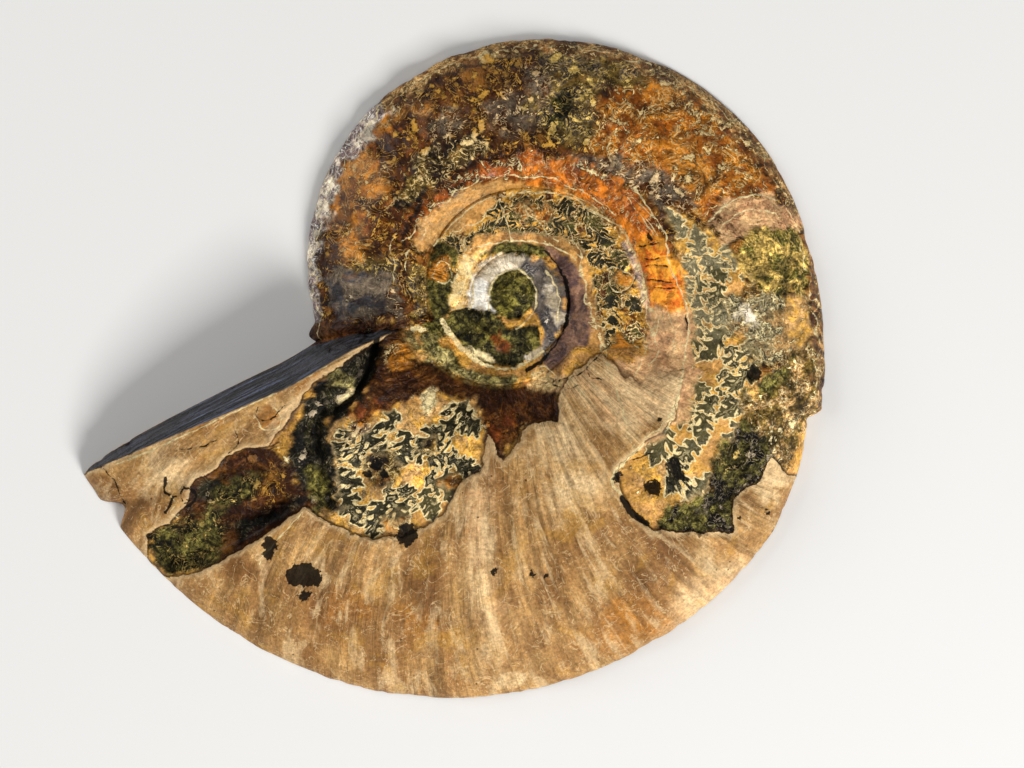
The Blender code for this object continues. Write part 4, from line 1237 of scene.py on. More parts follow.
edge_noise = hills(x, y, *PATCH_EDGES)
on_last = on_last_turn(own_angle, radius)
stone_paint = np.zeros(x.shape + (len(channels("dark amber")),)) + channels("grey leaves")
paint_over(stone_paint, INNER_PATCHES, 1 - on_last)
paint_over(stone_paint, PATCHES + BAND_PATCHES, on_last)
shell_paint = np.zeros_like(stone_paint) + channels("tan shell")
paint_over(shell_paint, SHELL_PATCHES, 1)
shell_edge = shell_distance(own_angle, radius)
shell_edge[own_angle < SHELL_FROM] = NO_SHELL
print("painted", stone_paint.shape[0] * stone_paint.shape[1], "places")

# %% [markdown]
# ## Fine relief
#
# The solid carries the lumps and ledges. What the paint calls rough gets smaller lumps here, and
# lines and holes are pressed in or raised a little. A shell grows at its mouth, so each growth
# line was once that mouth: the lines run out from the middle of the coil and bend forwards. Low
# ribs follow them on the tan shell. Everything fades out at the rim, so the surface still meets
# the cut where the solid does.

# %% Add the fine relief to the heights
FINE_LUMPS = ((3.4, 0.7, 37), (1.7, 0.45, 41), (0.9, 0.25, 43))  # size, height, layer
BUMPY = (41.5, 5, 6.5, 1.3)  # x, y, radius and height of the patch of round green bumps
BUMP_SIZE, BUMP_MIDDLE, BUMP_LAYER = 2.9, 0.6, 2
LINE_BEND = 0.00005  # how far the growth lines bend forwards, in radians per square mm
FINE_RIBS = ((0.055, 0.14), (0.021, 0.06))  # size in radians, height
RIBS_NEAR, RIBS_FAR, RIB_STRETCH = 5, 20, 400  # mm over which they begin, how straight they run
DARK_DEPTH, HOLE_DEPTH, PALE_HEIGHT, FACE_HEIGHT = 0.3, 0.12, 0.12, 0.12
DARK_SLOPE, PALE_SLOPE = (0.25, -0.25), (0.3, -0.1)  # distances between which they rise or sink
STREAK_LENGTH, STREAK_WIDTH, STREAK_LAYER = 9, 0.5, 53  # streaks on the end face
FADE_LOW, FADE_HIGH = 0.3, 2  # heights over which the fine relief fades out at the rim

rough = painted(stone_paint, "rough")[..., 0]
on_shell = ease(-0.2, 0.2, shell_edge)
on_face = ease(-0.1, 0.3, past_end)
bare = (1 - on_shell) * (1 - on_face)
fine = np.zeros_like(height)
for size, tall, layer in FINE_LUMPS:
    fine += tall * rough * bare * roughness(x, y, size, layer)
outward = np.hypot(x, y)
line_angle = np.arctan2(y, x) - outward**2 * LINE_BEND
for size, tall in FINE_RIBS:
    ribbed = on_shell * ease(RIBS_NEAR, RIBS_FAR, outward)
    fine += tall * ribbed * roughness(line_angle, outward / RIB_STRETCH, size, 51)
bump_x, bump_y, bump_reach, bump_height = BUMPY
round_bumps = BUMP_MIDDLE - np.reshape([
    noise.voronoi(Vector((a / BUMP_SIZE, b / BUMP_SIZE, BUMP_LAYER)))[0][0]
    for a, b in zip(x.ravel(), y.ravel())
], x.shape)
fine += bump_height * round_bumps * bare * hump(np.hypot(x - bump_x, y - bump_y), 0, bump_reach)
fine -= DARK_DEPTH * ease(*DARK_SLOPE, dark_line) * (1 - on_face)
fine -= HOLE_DEPTH * ease(*DARK_SLOPE, dark_spot) * (1 - on_face)
fine += PALE_HEIGHT * ease(*PALE_SLOPE, pale_line) * bare
face_streaks = roughness(radius / STREAK_LENGTH, height, STREAK_WIDTH, STREAK_LAYER)
fine += FACE_HEIGHT * on_face * face_streaks
height += fine * ease(FADE_LOW, FADE_HIGH, height)
height[:, -1] = 0
grid_mm = np.clip(np.stack([x, y, height], axis=-1), cad_low, cad_high)
print("fine relief from", fine.min().round(2), "to", fine.max().round(2), "mm")

# %% [markdown]
# ## The mesh
#
# A grid primitive has the right number of rows and columns. Its vertices are moved onto the
# coil, and the paint is written on them as attributes, which the material reads back.

# %% Make the fossil
bpy.ops.object.select_all(action="DESELECT")
bpy.ops.mesh.primitive_grid_add(x_subdivisions=rings - 1, y_subdivisions=columns - 1, size=0.1)
fossil = bpy.context.object
fossil.name = fossil.data.name = "ammonite_fossil"
mesh = fossil.data
mesh.vertices.foreach_set("co", np.ravel(grid_mm * MM))
mesh.update()
print(len(mesh.vertices), "vertices in the grid")


def write_attribute(name, values):
    """Write one number, three numbers or a colour for each vertex."""
    values = np.reshape(values, (len(mesh.vertices), -1))
    kinds = {1: ("FLOAT", "value"), 3: ("FLOAT_VECTOR", "vector"), 4: ("FLOAT_COLOR", "color")}
    kind, field = kinds[values.shape[1]]
    attribute = mesh.attributes.new(name, kind, "POINT")
    attribute.data.foreach_set(field, np.ravel(values).astype(np.float32))


def write_colour(name, values):
    """Write a linear colour for each vertex."""
    flat = np.reshape(values, (-1, 3))
    write_attribute(name, np.concatenate([flat, np.ones((len(flat), 1))], axis=1))


for index, name in enumerate(("ground", "second tone", "leaf colour", "curl colour")):
    write_colour(name, stone_paint[..., 3 * index:3 * index + 3])
for index, name in enumerate(("shell ground", "shell second tone")):
    write_colour(name, shell_paint[..., 3 * index:3 * index + 3])
for name, values in {
    "patterns": painted(stone_paint, "leaf", "curl", "fleck"),
    "texture": painted(stone_paint, "growth", "rough", "mottle"),
    "glassy": painted(stone_paint, "glassy"),
    "edges": np.stack([shell_edge, pale_line, dark_line], axis=-1),
    "pale line": pale_way,
    "dark line": dark_way,
    "past end": past_end,
    "cluster": cluster,
    "dark spot": dark_spot,
    "light spot": np.minimum(light_spot, FAR),
    "soft edge": soft_edge(x, y),
    "suture": suture,
    "small leaves": 1 - on_last,
    "painted_relief_shade": fine,
}.items():
    write_attribute(name, values)
print(len(mesh.attributes), "attributes")

# %% [markdown]
# The first and the last column lie on the same places, and so do all the vertices in the middle:
# they merge. What is then still open is the border, and one flat face closes it.

# %% Close it
SAME_PLACE = 0.001  # mm
SHARP_ANGLE = 50  # degrees between two faces that meet in a sharp edge
bpy.ops.object.mode_set(mode="EDIT")
bpy.ops.mesh.select_all(action="SELECT")
bpy.ops.mesh.remove_doubles(threshold=SAME_PLACE * MM)
bpy.ops.mesh.select_all(action="DESELECT")
bpy.ops.mesh.select_non_manifold()
bpy.ops.mesh.edge_face_add()
bpy.ops.mesh.select_all(action="SELECT")
bpy.ops.mesh.normals_make_consistent(inside=False)
bpy.ops.object.mode_set(mode="OBJECT")
bpy.ops.object.shade_smooth_by_angle(angle=math.radians(SHARP_ANGLE))
cut = [face for face in mesh.polygons if len(face.vertices) > 4]
print(len(mesh.polygons), "faces, of which", len(cut), "is the cut, with",
      len(cut[0].vertices), "corners")

# %% [markdown]
# ## Shader maths as Python
#
# Patterns are easier to read as formulas than as a web of nodes. Wire wraps one socket. Adding or
# multiplying two wires adds the Math node that does it. Every other node comes from Graph.add.
# Coat holds a colour while one layer after another is laid over it.

# %% Wires and graphs
class Wire:
    """The output of a node, with arithmetic."""

    def __init__(self, graph, socket):
        self.graph, self.socket = graph, socket

    def math(self, operation, *values):
        node = self.graph.add("ShaderNodeMath", {"operation": operation}, dict(enumerate(values)))
        return Wire(self.graph, node.outputs[0])

    def __add__(self, other):
        return self.math("ADD", self, other)

    def __sub__(self, other):
        return self.math("SUBTRACT", self, other)

    def __rsub__(self, other):
        return self.math("SUBTRACT", other, self)

    def __mul__(self, other):
        return self.math("MULTIPLY", self, other)

    def __truediv__(self, other):
        return self.math("DIVIDE", self, other)

    def __mod__(self, other):
        return self.math("FLOORED_MODULO", self, other)

    def __neg__(self):
        return self.math("MULTIPLY", self, -1)

    def __abs__(self):
        return self.math("ABSOLUTE", self)

    def ease(self, low, high):
        """0 at low and 1 at high, which may be the smaller one, with an S-shaped curve between."""
        reverse = low > high
        sockets = {"Value": self, "From Min": min(low, high), "From Max": max(low, high),
                   "To Min": 1 if reverse else 0, "To Max": 0 if reverse else 1}
        settings = {"interpolation_type": "SMOOTHSTEP"}
        return self.graph.out(self.graph.add("ShaderNodeMapRange", settings, sockets))

    __radd__ = __add__
    __rmul__ = __mul__


class Graph:
    """A material and the nodes that are added to it."""

    def __init__(self, name):
        self.material = bpy.data.materials.new(name)
        self.material.use_nodes = True
        self.nodes = self.material.node_tree.nodes
        self.links = self.material.node_tree.links
        self.surface = self.nodes["Principled BSDF"]

    def tell(self, what):
        """Say how many nodes there are so far."""
        print(self.material.name, "has", len(self.nodes), "nodes", what)

    def feed(self, socket, value):
        """Link a wire to a socket, or set the socket to a value."""
        if isinstance(value, Wire):
            self.links.new(value.socket, socket)
        else:
            socket.default_value = value

    def add(self, kind, settings=None, sockets=None):
        """Add a node: its settings first, then the values or links of its sockets."""
        node = self.nodes.new(kind)
        for name, value in (settings or {}).items():
            setattr(node, name, value)
        for name, value in (sockets or {}).items():
            self.feed(node.inputs[name], value)
        return node

    def out(self, node, name=0):
        return Wire(self, node.outputs[name])

    def attribute(self, name, output="Fac"):
        return self.out(self.add("ShaderNodeAttribute", {"attribute_name": name}), output)

    def split(self, vector):
        node = self.add("ShaderNodeSeparateXYZ", sockets={0: vector})
        return [self.out(node, index) for index in range(3)]

    def join(self, x, y, z=0):
        return self.out(self.add("ShaderNodeCombineXYZ", sockets={0: x, 1: y, 2: z}))

    def vector(self, operation, *values, scale=None):
        sockets = dict(enumerate(values))
        if scale is not None:
            sockets["Scale"] = scale
        node = self.add("ShaderNodeVectorMath", {"operation": operation}, sockets)
        return self.out(node, "Value" if operation == "LENGTH" else "Vector")

    def noise(self, vector, size, detail=2, coarse=0.5, twist=0, output="Fac"):
        """Noise whose hills are about size across, from 0 to 1."""
        sockets = {"Vector": vector, "Scale": 1 / size, "Detail": detail, "Roughness": coarse,
                   "Distortion": twist}
        return self.out(self.add("ShaderNodeTexNoise", sockets=sockets), output)

    def position(self):
        """Where each place on the object is, in mm."""
        place_m = self.out(self.add("ShaderNodeTexCoord"), "Object")
        return self.vector("SCALE", place_m, scale=1 / MM)

    def shaken(self, vector, shift, size, detail, coarse):
        """The same places, each moved a little by random hills."""
        warp = self.noise(vector, size, detail, coarse, output="Color")
        return self.vector("ADD", vector, self.vector("SCALE", warp, scale=shift))

    def cells(self, vector, density):
        """Irregular cells: a random number for each, and the distance from its middle."""
        node = self.add("ShaderNodeTexVoronoi", {}, {"Vector": vector, "Scale": density})
        return self.split(self.out(node, "Color"))[0], self.out(node, "Distance")

    def mix(self, share, first, second):
        """Mix two colours."""
        node = self.add("ShaderNodeMix", {"data_type": "RGBA"}, {0: share, 6: first, 7: second})
        return self.out(node, 2)

    def shade(self, colour, factor):
        """Make a colour lighter or darker."""
        return self.vector("SCALE", colour, scale=factor)


class Coat:
    """A colour that is built up in layers."""

    def __init__(self, graph, colour):
        self.graph, self.colour = graph, colour

    def lay(self, share, colour):
        """Lay a colour, which may be a name, over the coat where the share is above 0."""
        colour = rgb(colour) if isinstance(colour, str) else colour
        self.colour = self.graph.mix(share, self.colour, colour)

    def shade(self, factor):
        """Make the coat lighter or darker."""
        self.colour = self.graph.shade(self.colour, factor)


def rgb(name, factor=1):
    """A named colour as a socket wants it."""
    return (*(linear(COLOURS[name]) * factor), 1)


print("cream in a socket:", [round(float(value), 2) for value in rgb("cream")])

# %% [markdown]
# ## Small sutures
#
# On the inner turn the leaves are too small for the mesh, so the material draws them. One leaf
# is a lens whose outline is folded by two zigzag waves. Leaves sit in cells on a spiral map
# (angle along, logarithm of the radius across), so they shrink with the shell towards the middle.
# A warp of random hills keeps any two from being alike.

# %% The small leaf pattern
LEAF_ALONG, LEAF_ACROSS = 0.29, 0.205  # size of a cell on the spiral map
LEAF_SCALE = 25  # radius in mm at which a leaf would have these sizes
LEAF_LENGTH, LEAF_WIDTH, LEAF_WARP = 4.3, 4.5, 4


def zigzag(value):
    """A wave of straight lines between -1 and 1."""
    return abs(value % 1 - 0.5) * 4 - 1


def small_leaves(graph, turn, log_radius):
    """How deep inside a leaf each place on the spiral map lies."""
    level = log_radius - turn * (math.log(GROWTH) / (2 * math.pi))
    spread_map = graph.join(turn * LEAF_SCALE, level * LEAF_SCALE)
    warp = graph.noise(spread_map, 3.2, 1.5, 0.4, output="Color")
    shift_along, shift_across, _ = graph.split(warp)
    along = (turn + (shift_along - 0.5) * (LEAF_WARP / LEAF_SCALE)) / LEAF_ALONG
    across = (level + (shift_across - 0.5) * (LEAF_WARP / LEAF_SCALE)) / LEAF_ACROSS
    along = along + (across.math("FLOOR", across) % 2) * 0.5
    cell = graph.add("ShaderNodeTexVoronoi", {"voronoi_dimensions": "2D"},
                     {"Vector": graph.join(along, across), "Scale": 1, "Randomness": 0.4})
    at_along, at_across, _ = graph.split(graph.out(cell, "Position"))
    s = (along - at_along) * (LEAF_ALONG * LEAF_SCALE)
    q = abs((across - at_across) * (LEAF_ACROSS * LEAF_SCALE))
    reach = (s - 0.2) / LEAF_LENGTH
    envelope = (1 - reach * reach) * LEAF_WIDTH
    lobes = zigzag((s - q * 0.9) * 0.5 + 0.1) * 0.42
    teeth = zigzag((s * 0.7 + q) * 1.6) * 0.08
    depth = envelope * (lobes + teeth + 0.54) - q
    stem = (1 - abs(s) / LEAF_LENGTH) * 0.5 - q
    return depth.math("MAXIMUM", depth, stem)


print(round(2 * math.pi / LEAF_ALONG), "small leaves in a row round the coil")

# %% [markdown]
# ## The surface of the fossil
#
# The material reads the paint and draws the patterns, layer by layer: the stone, the leaves in
# it, the light curls and crumbs on it, the shell over it, and last the lines and holes. All the
# layers share a few fields of random hills, so that colour and relief agree.

# %% What the layers share
graph = Graph("fossil_surface")
position = graph.position()
px, py, pz = graph.split(position)
distance = graph.vector("LENGTH", graph.join(px, py))
turned = px.math("ARCTAN2", py, -px) % (2 * math.pi)
shell_in, pale_out, dark_out = graph.split(graph.attribute("edges", "Vector"))
leaf_amount, curl_amount, fleck_amount = graph.split(graph.attribute("patterns", "Vector"))
growth_amount, rough_amount, mottle_amount = graph.split(graph.attribute("texture", "Vector"))
light_marks = graph.attribute("curl colour", "Color")
soft_shell = graph.attribute("soft edge")
glassy = graph.attribute("glassy")
matt = 1 - glassy * 0.7

wobble = graph.noise(position, 0.9, 3, 0.6) - 0.5
clouds = graph.noise(position, 5.5, 3, 0.55, 0.4)
blotches = graph.noise(position, 3, 5, 0.6, 0.6)
islands = graph.noise(position, 1.1, 4, 0.68, 0.8)
grain = graph.noise(position, 0.45, 2, 0.6)
speck = graph.noise(position, 0.75, 3, 0.7, 0.5)


def rays(turn, along, outward, layer, detail, coarse, twist=0):
    """Random streaks that run outward: how close they lie along the turn, how short they are."""
    spread_map = graph.join(turn * along, distance * outward, layer)
    return graph.noise(spread_map, 1, detail, coarse, twist)


graph.tell("shared by all the layers")

# %% [markdown]
# The stone is mineral that filled the shell grain by grain. It is mottled with a second tone,
# broken into shards of slightly different lightness, and streaked where the shell's growth lines
# were pressed into it. Rough rock is blotched most of all.

# %% The stone
stone = Coat(graph, graph.attribute("ground", "Color"))
stone.lay(blotches.ease(0.44, 0.56) * mottle_amount, graph.attribute("second tone", "Color"))
stone.shade((clouds - 0.5) * mottle_amount * 2.4 + 1)
shard_random, shard_middle = graph.cells(graph.shaken(position, 3, 1.6, 3, 0.6), 0.5)
stone.shade((shard_random - 0.45) * mottle_amount * 0.8 + 1)
streaks = rays(turned, 22, 0.12, pz * 0.1, 4, 0.65)
stone.shade((streaks - 0.5) * growth_amount * 1.8 + 1)
stone.shade((islands.ease(0.44, 0.56) - 0.55) * rough_amount * matt * 1.2 + 1)
graph.tell("with the stone")

# %% [markdown]
# Amber calcite is clear, so one looks into it: deep places are dark and places near the surface
# glow. Real depth would need a clear solid. Veils of painted shade and painted glow look deep
# enough from outside, with a thin painted highlight where a crack would catch light.

# %% Clear calcite
veil = rays(turned, 8, 0.19, pz * 0.1, 3, 0.5, 1.6)
depth = veil * 0.6 + clouds * 0.4
# painted shade where the calcite is deep, painted glow where it is shallow
stone.lay(depth.ease(0.5, 0.41) * glassy * 0.9, "umber")
stone.lay(depth.ease(0.53, 0.64) * glassy * 0.65, "deep honey")
# a thin painted highlight along the edges of the veils
painted_glint = abs(veil - 0.53).ease(0.016, 0.004) * glassy * islands.ease(0.5, 0.6)
stone.lay(painted_glint * 0.8, light_marks)
graph.tell("with the calcite")

# %% [markdown]
# A suture is the line along which a chamber wall was fastened to the shell. Its leaves are dark
# with a pale outline and a few pale veins. The large ones come from the mesh and the small ones
# from the pattern above, and both end in the same colours, so they are drawn together.

# %% The leaves
SUTURE_OUTLINE = -0.75 * SUTURE_EDGE
small = small_leaves(graph, turned, distance.math("LOGARITHM", distance, math.e))
in_cluster = graph.attribute("cluster") * 1.6 + wobble * 4 + (islands - 0.5) * 2.4
small = small.math("MINIMUM", small, in_cluster)
suture_in = graph.attribute("suture") + wobble * 0.25
on_small = graph.attribute("small leaves")
on_large = 1 - on_small
leaf = (small.ease(-0.06, 0.06) * on_small + suture_in.ease(-0.05, 0.05) * on_large) * leaf_amount
large_outline = suture_in.ease(SUTURE_OUTLINE - 0.05, SUTURE_OUTLINE + 0.05)
outline = (small.ease(-0.55, -0.38) * on_small + large_outline * on_large) * leaf_amount
leaf_coat = Coat(graph, graph.attribute("leaf colour", "Color"))
leaf_coat.shade(graph.noise(position, 1.6, 3, 0.6) * 2.4 - 0.2)
vein = abs(suture_in - 0.3).ease(0.07, 0.03) * clouds.ease(0.5, 0.6)
leaf_coat.lay(vein * 0.4, light_marks)
leaf_coat.lay(blotches.ease(0.5, 0.58) * on_small * 0.6, "green")
stone.lay(outline * 0.9, light_marks)
stone.lay(leaf, leaf_coat.colour)
graph.tell("with the leaves")

# %% [markdown]
# Calcite also filled thin cracks, which show as light curls, finer hairs and loose crumbs.
# Painted shadow beside the curls and crumbs and between the hairs makes them stand out as if
# raised. A curl is a contour line of random hills, so it bends and branches by itself. A crumb is
# the middle of a random cell.

# %% Light curls and crumbs
CURL_LINES = 5  # contour lines between the lowest and the highest hill
curled = curl_amount.ease(0, 0.2)
curl_side = graph.noise(position, 3, 2, 0.5, 1.8) * CURL_LINES % 1 - 0.5
curl_width = graph.noise(position, 1.5, 2, 0.5) - 0.66 + curl_amount * 0.2
curl_room = abs(curl_side) - curl_width * 0.9
curl = curl_room.ease(0.02, -0.03) * curled
# painted shadow along both sides of each curl
stone.shade(1 - curl_room.ease(0.22, 0.02) * curled * 0.65)
stone.lay(curl, graph.shade(light_marks, grain * 1.4 + 0.2))
crumb_random, crumb_out = graph.cells(graph.shaken(position, 1.2, 0.8, 2, 0.5), 0.6)
crumb_here = crumb_random.ease(0.5, 0.56) * clouds.ease(0.48, 0.56) * fleck_amount
# a ring of painted shadow round each crumb
stone.shade(1 - crumb_out.ease(0.6, 0.45) * crumb_here * 0.8)
crumb = crumb_out.ease(0.38, 0.28) * crumb_here
stone.lay(crumb, light_marks)

hair_side = abs(graph.noise(position, 2.6, 2, 0.5, 1.8) * CURL_LINES % 1 - 0.5)
hair_here = blotches.ease(0.47, 0.56) * (curl_amount + 0.1) * (1 - leaf_amount * 0.6)
# painted shadow between the hairs
stone.shade(1 - hair_side.ease(0.34, 0.5) * hair_here * 0.75)
stone.lay(hair_side.ease(0.13, 0.05) * hair_here * 0.75, light_marks)
# sparks: tiny pale crumbs, and painted highlights that stand for the glints of polished calcite
crumb_and_highlight_sparks = speck.ease(0.64, 0.68) * (curl_amount * 0.5 + fleck_amount * 0.8)
stone.lay(crumb_and_highlight_sparks * 0.8, light_marks)

placed = graph.attribute("light spot") + wobble * 1.4 + (grain - 0.5) * 0.7
# a ring of painted shadow round each placed crumb
stone.shade(1 - placed.ease(0.45, 0.1) * 0.55)
placed_crumb = placed.ease(0.1, -0.1)
stone.lay(placed_crumb, graph.shade(light_marks, grain * 0.7 + 0.7))
graph.tell("with the curls and crumbs")

# %% [markdown]
# The tan shell was laid down line by line at the mouth, so fine growth lines and broader folds
# fan out over it. Brown stains and pale washes follow the same lines. Gold clouds, hair scratches
# and small dark dots have nothing to do with growth and lie anyhow. Its broken edge is pale,
# partly in its own colour and partly as a painted highlight.

# %% The tan shell
line_turn = px.math("ARCTAN2", py, px) - distance * distance * LINE_BEND
growth_lines = rays(line_turn, 32, 0.07, 4, 5, 0.66, 0.3)
folds = rays(line_turn, 9, 0.05, 9, 3, 0.55, 0.2)
far_out = distance.ease(22, 40)
lined = graph.noise(position, 12, 2, 0.5).ease(0.38, 0.6) * 0.5 + 0.5
shell = Coat(graph, graph.attribute("shell ground", "Color"))
shell.lay((clouds * 0.35 + folds * 0.65).ease(0.4, 0.6),
          graph.attribute("shell second tone", "Color"))
shell.shade((growth_lines - 0.5) * lined * 2.8 + 1)
shell.shade((islands - 0.5) * 0.6 + 1)
stains = rays(line_turn, 15, 0.16, 6, 5, 0.62, 0.5).ease(0.5, 0.62)
shell.lay(stains * 0.45, "brown tan")
washed = rays(line_turn, 18, 0.1, 16, 4, 0.6, 0.4).ease(0.52, 0.64)
shell.lay(washed * 0.5, "pale tan")
golden = graph.noise(position, 6.5, 4, 0.6, 0.5).ease(0.54, 0.66)
shell.lay(golden * 0.35, rgb("gold", 0.75))
scratch = abs(graph.noise(position, 4, 3, 0.55, 1.5) - 0.5).ease(0.014, 0.004)
shell.lay(scratch * 0.45, "pale tan")
dot_random, dot_out = graph.cells(position, 0.4)
dot = dot_out.ease(0.09, 0.05) * dot_random.ease(0.6, 0.62)
shell.lay(dot * 0.8, "dark brown")
hard_shell = 1 - soft_shell
# a pale rim along the broken edge: the shell's own colour and a painted highlight
pale_edge_highlight = (shell_in + wobble).ease(1.1, 0.1) * hard_shell
shell.lay(pale_edge_highlight * 0.6, "pale tan")
graph.tell("with the shell")

# %% [markdown]
# Where the shell has flaked off, it ends in a sharp ragged step with painted shadow at its foot.
# Where it has only worn thin, it fades into the stone over a few millimetres. The paint says
# which of the two a place has, and the shell is then laid over the stone.

# %% The broken edge of the shell
on_shell_mask = ((shell_in + wobble * 0.5).ease(-0.08, 0.08) * hard_shell
                 + (shell_in + wobble * 2).ease(-2.5, 2.5) * soft_shell)
off_shell = 1 - on_shell_mask
step_shadow = (shell_in + wobble * 0.5).ease(-0.55, -0.1) * off_shell * hard_shell
surface = Coat(graph, stone.colour)
# painted shadow at the foot of the broken step
surface.lay(step_shadow * 0.75, "dark brown")
surface.lay(on_shell_mask, shell.colour)
graph.tell("with the shell in its place")

# %% [markdown]
# Lines and holes come last, because they cut through shell and stone alike. The mesh says where
# the nearest line is and how wide, and the material only adds a ragged edge. Half-way between two
# lines the way to the nearest one turns round, which looks like a line as well, so a line is
# drawn only where one is truly close.

# %% Lines and holes
def on_line(name, close):
    """1 on the lines of an attribute, 0 beside them."""
    way_x, way_y, half_width = graph.split(graph.attribute(name, "Vector"))
    beside = graph.vector("LENGTH", graph.join(way_x, way_y)) - half_width
    return (beside + wobble * 0.6).ease(0.07, -0.05) * close.ease(0.6, 0.4)


surface.lay(on_line("pale line", pale_out) * 0.85,
            graph.shade(rgb("cream")[:3], islands * 1.5 + 0.1))
dark = on_line("dark line", dark_out)
holes = (graph.attribute("dark spot") + wobble * 2.2).ease(0.08, -0.05)
dark = dark.math("MAXIMUM", dark, holes)
surface.lay(dark * 0.95, "black")
graph.tell("with the lines and holes")

# %% [markdown]
# At the mouth the last turn is broken off, and the broken face shows slate-coloured mud that
# settled in layers, laid on dark as painted shade. Streaks run across it, and a cool painted light
# makes them most blue half-way along the face.

# %% The broken end face
BLUEST_AT = 46  # mm from the middle of the coil
face_map = graph.join(distance * 0.05, pz * 0.9 + turned * 2, 3)
face_streaks = graph.noise(face_map, 0.6, 4, 0.65, 0.3)
# painted shade: the face starts from slate darkened to about a third
face = Coat(graph, rgb("slate", 0.35))
face.lay(face_streaks.ease(0.35, 0.6), rgb("slate", 1.3))
# a cool painted light, most blue half-way along the face
bluest_cool_light = abs(distance - BLUEST_AT).ease(16, 6)
face.lay(face_streaks.ease(0.5, 0.64) * (bluest_cool_light * 0.7 + 0.25), rgb("blue slate", 1.3))
on_face_mask = (graph.attribute("past end") + wobble * 0.3).ease(0, 0.25)
surface.lay(on_face_mask, face.colour)
graph.tell("with the end face")

# %% [markdown]
# Low places of the fine relief get painted shade and high places get painted light. The finest
# relief is a bump that follows the patterns, because a shard, a crumb or a growth line is felt as
# well as seen. Clear calcite gets a thin polish. The rest is dull, and holes and rough rock are
# the dullest.

# %% Light, relief and gloss
BUMP_STRENGTH, BUMP_DEPTH = 0.9, MM
SPECULAR, POLISH, POLISH_ROUGHNESS = 0.13, 0.15, 0.2
painted_relief_shade = graph.attribute("painted_relief_shade").ease(-0.45, 0.45)
speckled = (rough_amount * 0.9 + 0.3) * matt * off_shell + on_shell_mask * 0.3
speckle = (speck.ease(0.32, 0.68) - 0.5) * speckled
# painted shade in the low places of the fine relief and painted light on its high ones
surface.shade(((grain - 0.5) * matt * 1.2 + speckle + 1) * (painted_relief_shade * 0.9 + 0.55))
stone_bump = (curl * 0.12 + (outline - leaf) * 0.06
              + islands * (rough_amount + 0.1) * matt * 0.5
              - shard_middle * mottle_amount * 0.45 + (crumb + placed_crumb) * 0.2
              + streaks * growth_amount * 0.15 + blotches * mottle_amount * 0.6
              + veil * glassy * 2.2 + speck * (rough_amount * 0.2 + 0.03))
shell_bump = growth_lines * lined + islands * 0.3 + folds * far_out * 1.2 + speck * 0.08
bump_height = (stone_bump * off_shell + shell_bump * on_shell_mask + grain * 0.04
               + face_streaks * on_face_mask * 0.3)
bump = graph.add("ShaderNodeBump", {}, {
    "Height": bump_height, "Strength": BUMP_STRENGTH, "Distance": BUMP_DEPTH})
for name, value in {
    "Base Color": surface.colour,
    "Roughness": (0.3 + rough_amount * 0.35 + on_shell_mask * 0.12 + dark * 0.4
                  + (blotches - 0.5) * 0.2),
    "Normal": graph.out(bump, "Normal"),
    "Specular IOR Level": SPECULAR,
    "Coat Weight": glassy * off_shell * POLISH,
    "Coat Roughness": POLISH_ROUGHNESS,
}.items():
    graph.feed(graph.surface.inputs[name], value)
fossil.data.materials.append(graph.material)
graph.tell("in all")

# %% [markdown]
# ## The sawn face
#
# Below, the cut shows the coil in section: thin shell walls between the turns, curved walls
# between the chambers, and calcite of a different colour in each chamber. The spiral map of the
# small leaves gives all of it: whole turns across, and equal steps of a turn along.

# %% Turns and chambers on the cut
WALL_COUNT = 17  # chamber walls in a turn
CUT_SHAKE = 1.2  # mm by which random hills move the pattern
CUT_MIDDLE = CUT_SHAKE / 2  # the hills move its middle by half of that
sawn = Graph("polished_cut")
cut_position = sawn.position()
cut_x, cut_y, _ = sawn.split(sawn.shaken(cut_position, CUT_SHAKE, 6, 3, 0.5))
cut_distance = sawn.vector("LENGTH", sawn.join(cut_x - CUT_MIDDLE, cut_y - CUT_MIDDLE))
cut_turned = cut_x.math("ARCTAN2", cut_y - CUT_MIDDLE, CUT_MIDDLE - cut_x) % (2 * math.pi)
turns = (cut_distance.math("LOGARITHM", cut_distance / RADIUS_AT_ZERO, math.e) / math.log(GROWTH)
         - cut_turned / (2 * math.pi))
across = turns % 1
wall_gap = (0.5 - abs(across - 0.5)) * cut_distance * math.log(GROWTH)
curve = (across - 0.5) * (across - 0.5) * 1.6
along = (cut_turned / (2 * math.pi) + turns.math("FLOOR", turns)) * WALL_COUNT + curve * 1.5
septum = 0.5 - abs(along % 1 - 0.5)
septum_gap = septum * cut_distance * (2 * math.pi / WALL_COUNT)
chamber = sawn.add("ShaderNodeTexWhiteNoise", {"noise_dimensions": "1D"},
                   {"W": along.math("FLOOR", along)})
chamber_random = sawn.out(chamber, "Value")
print(WALL_COUNT, "chambers in a turn")

# %% [markdown]
# Crystals grew inwards from the walls of each chamber in layers, and the mineral changed as they
# grew. The living chamber had no walls: it filled with grey-brown mud. Walls are laid on last,
# thin pale ones between chambers and darker ones between turns. A sawn face is polished.

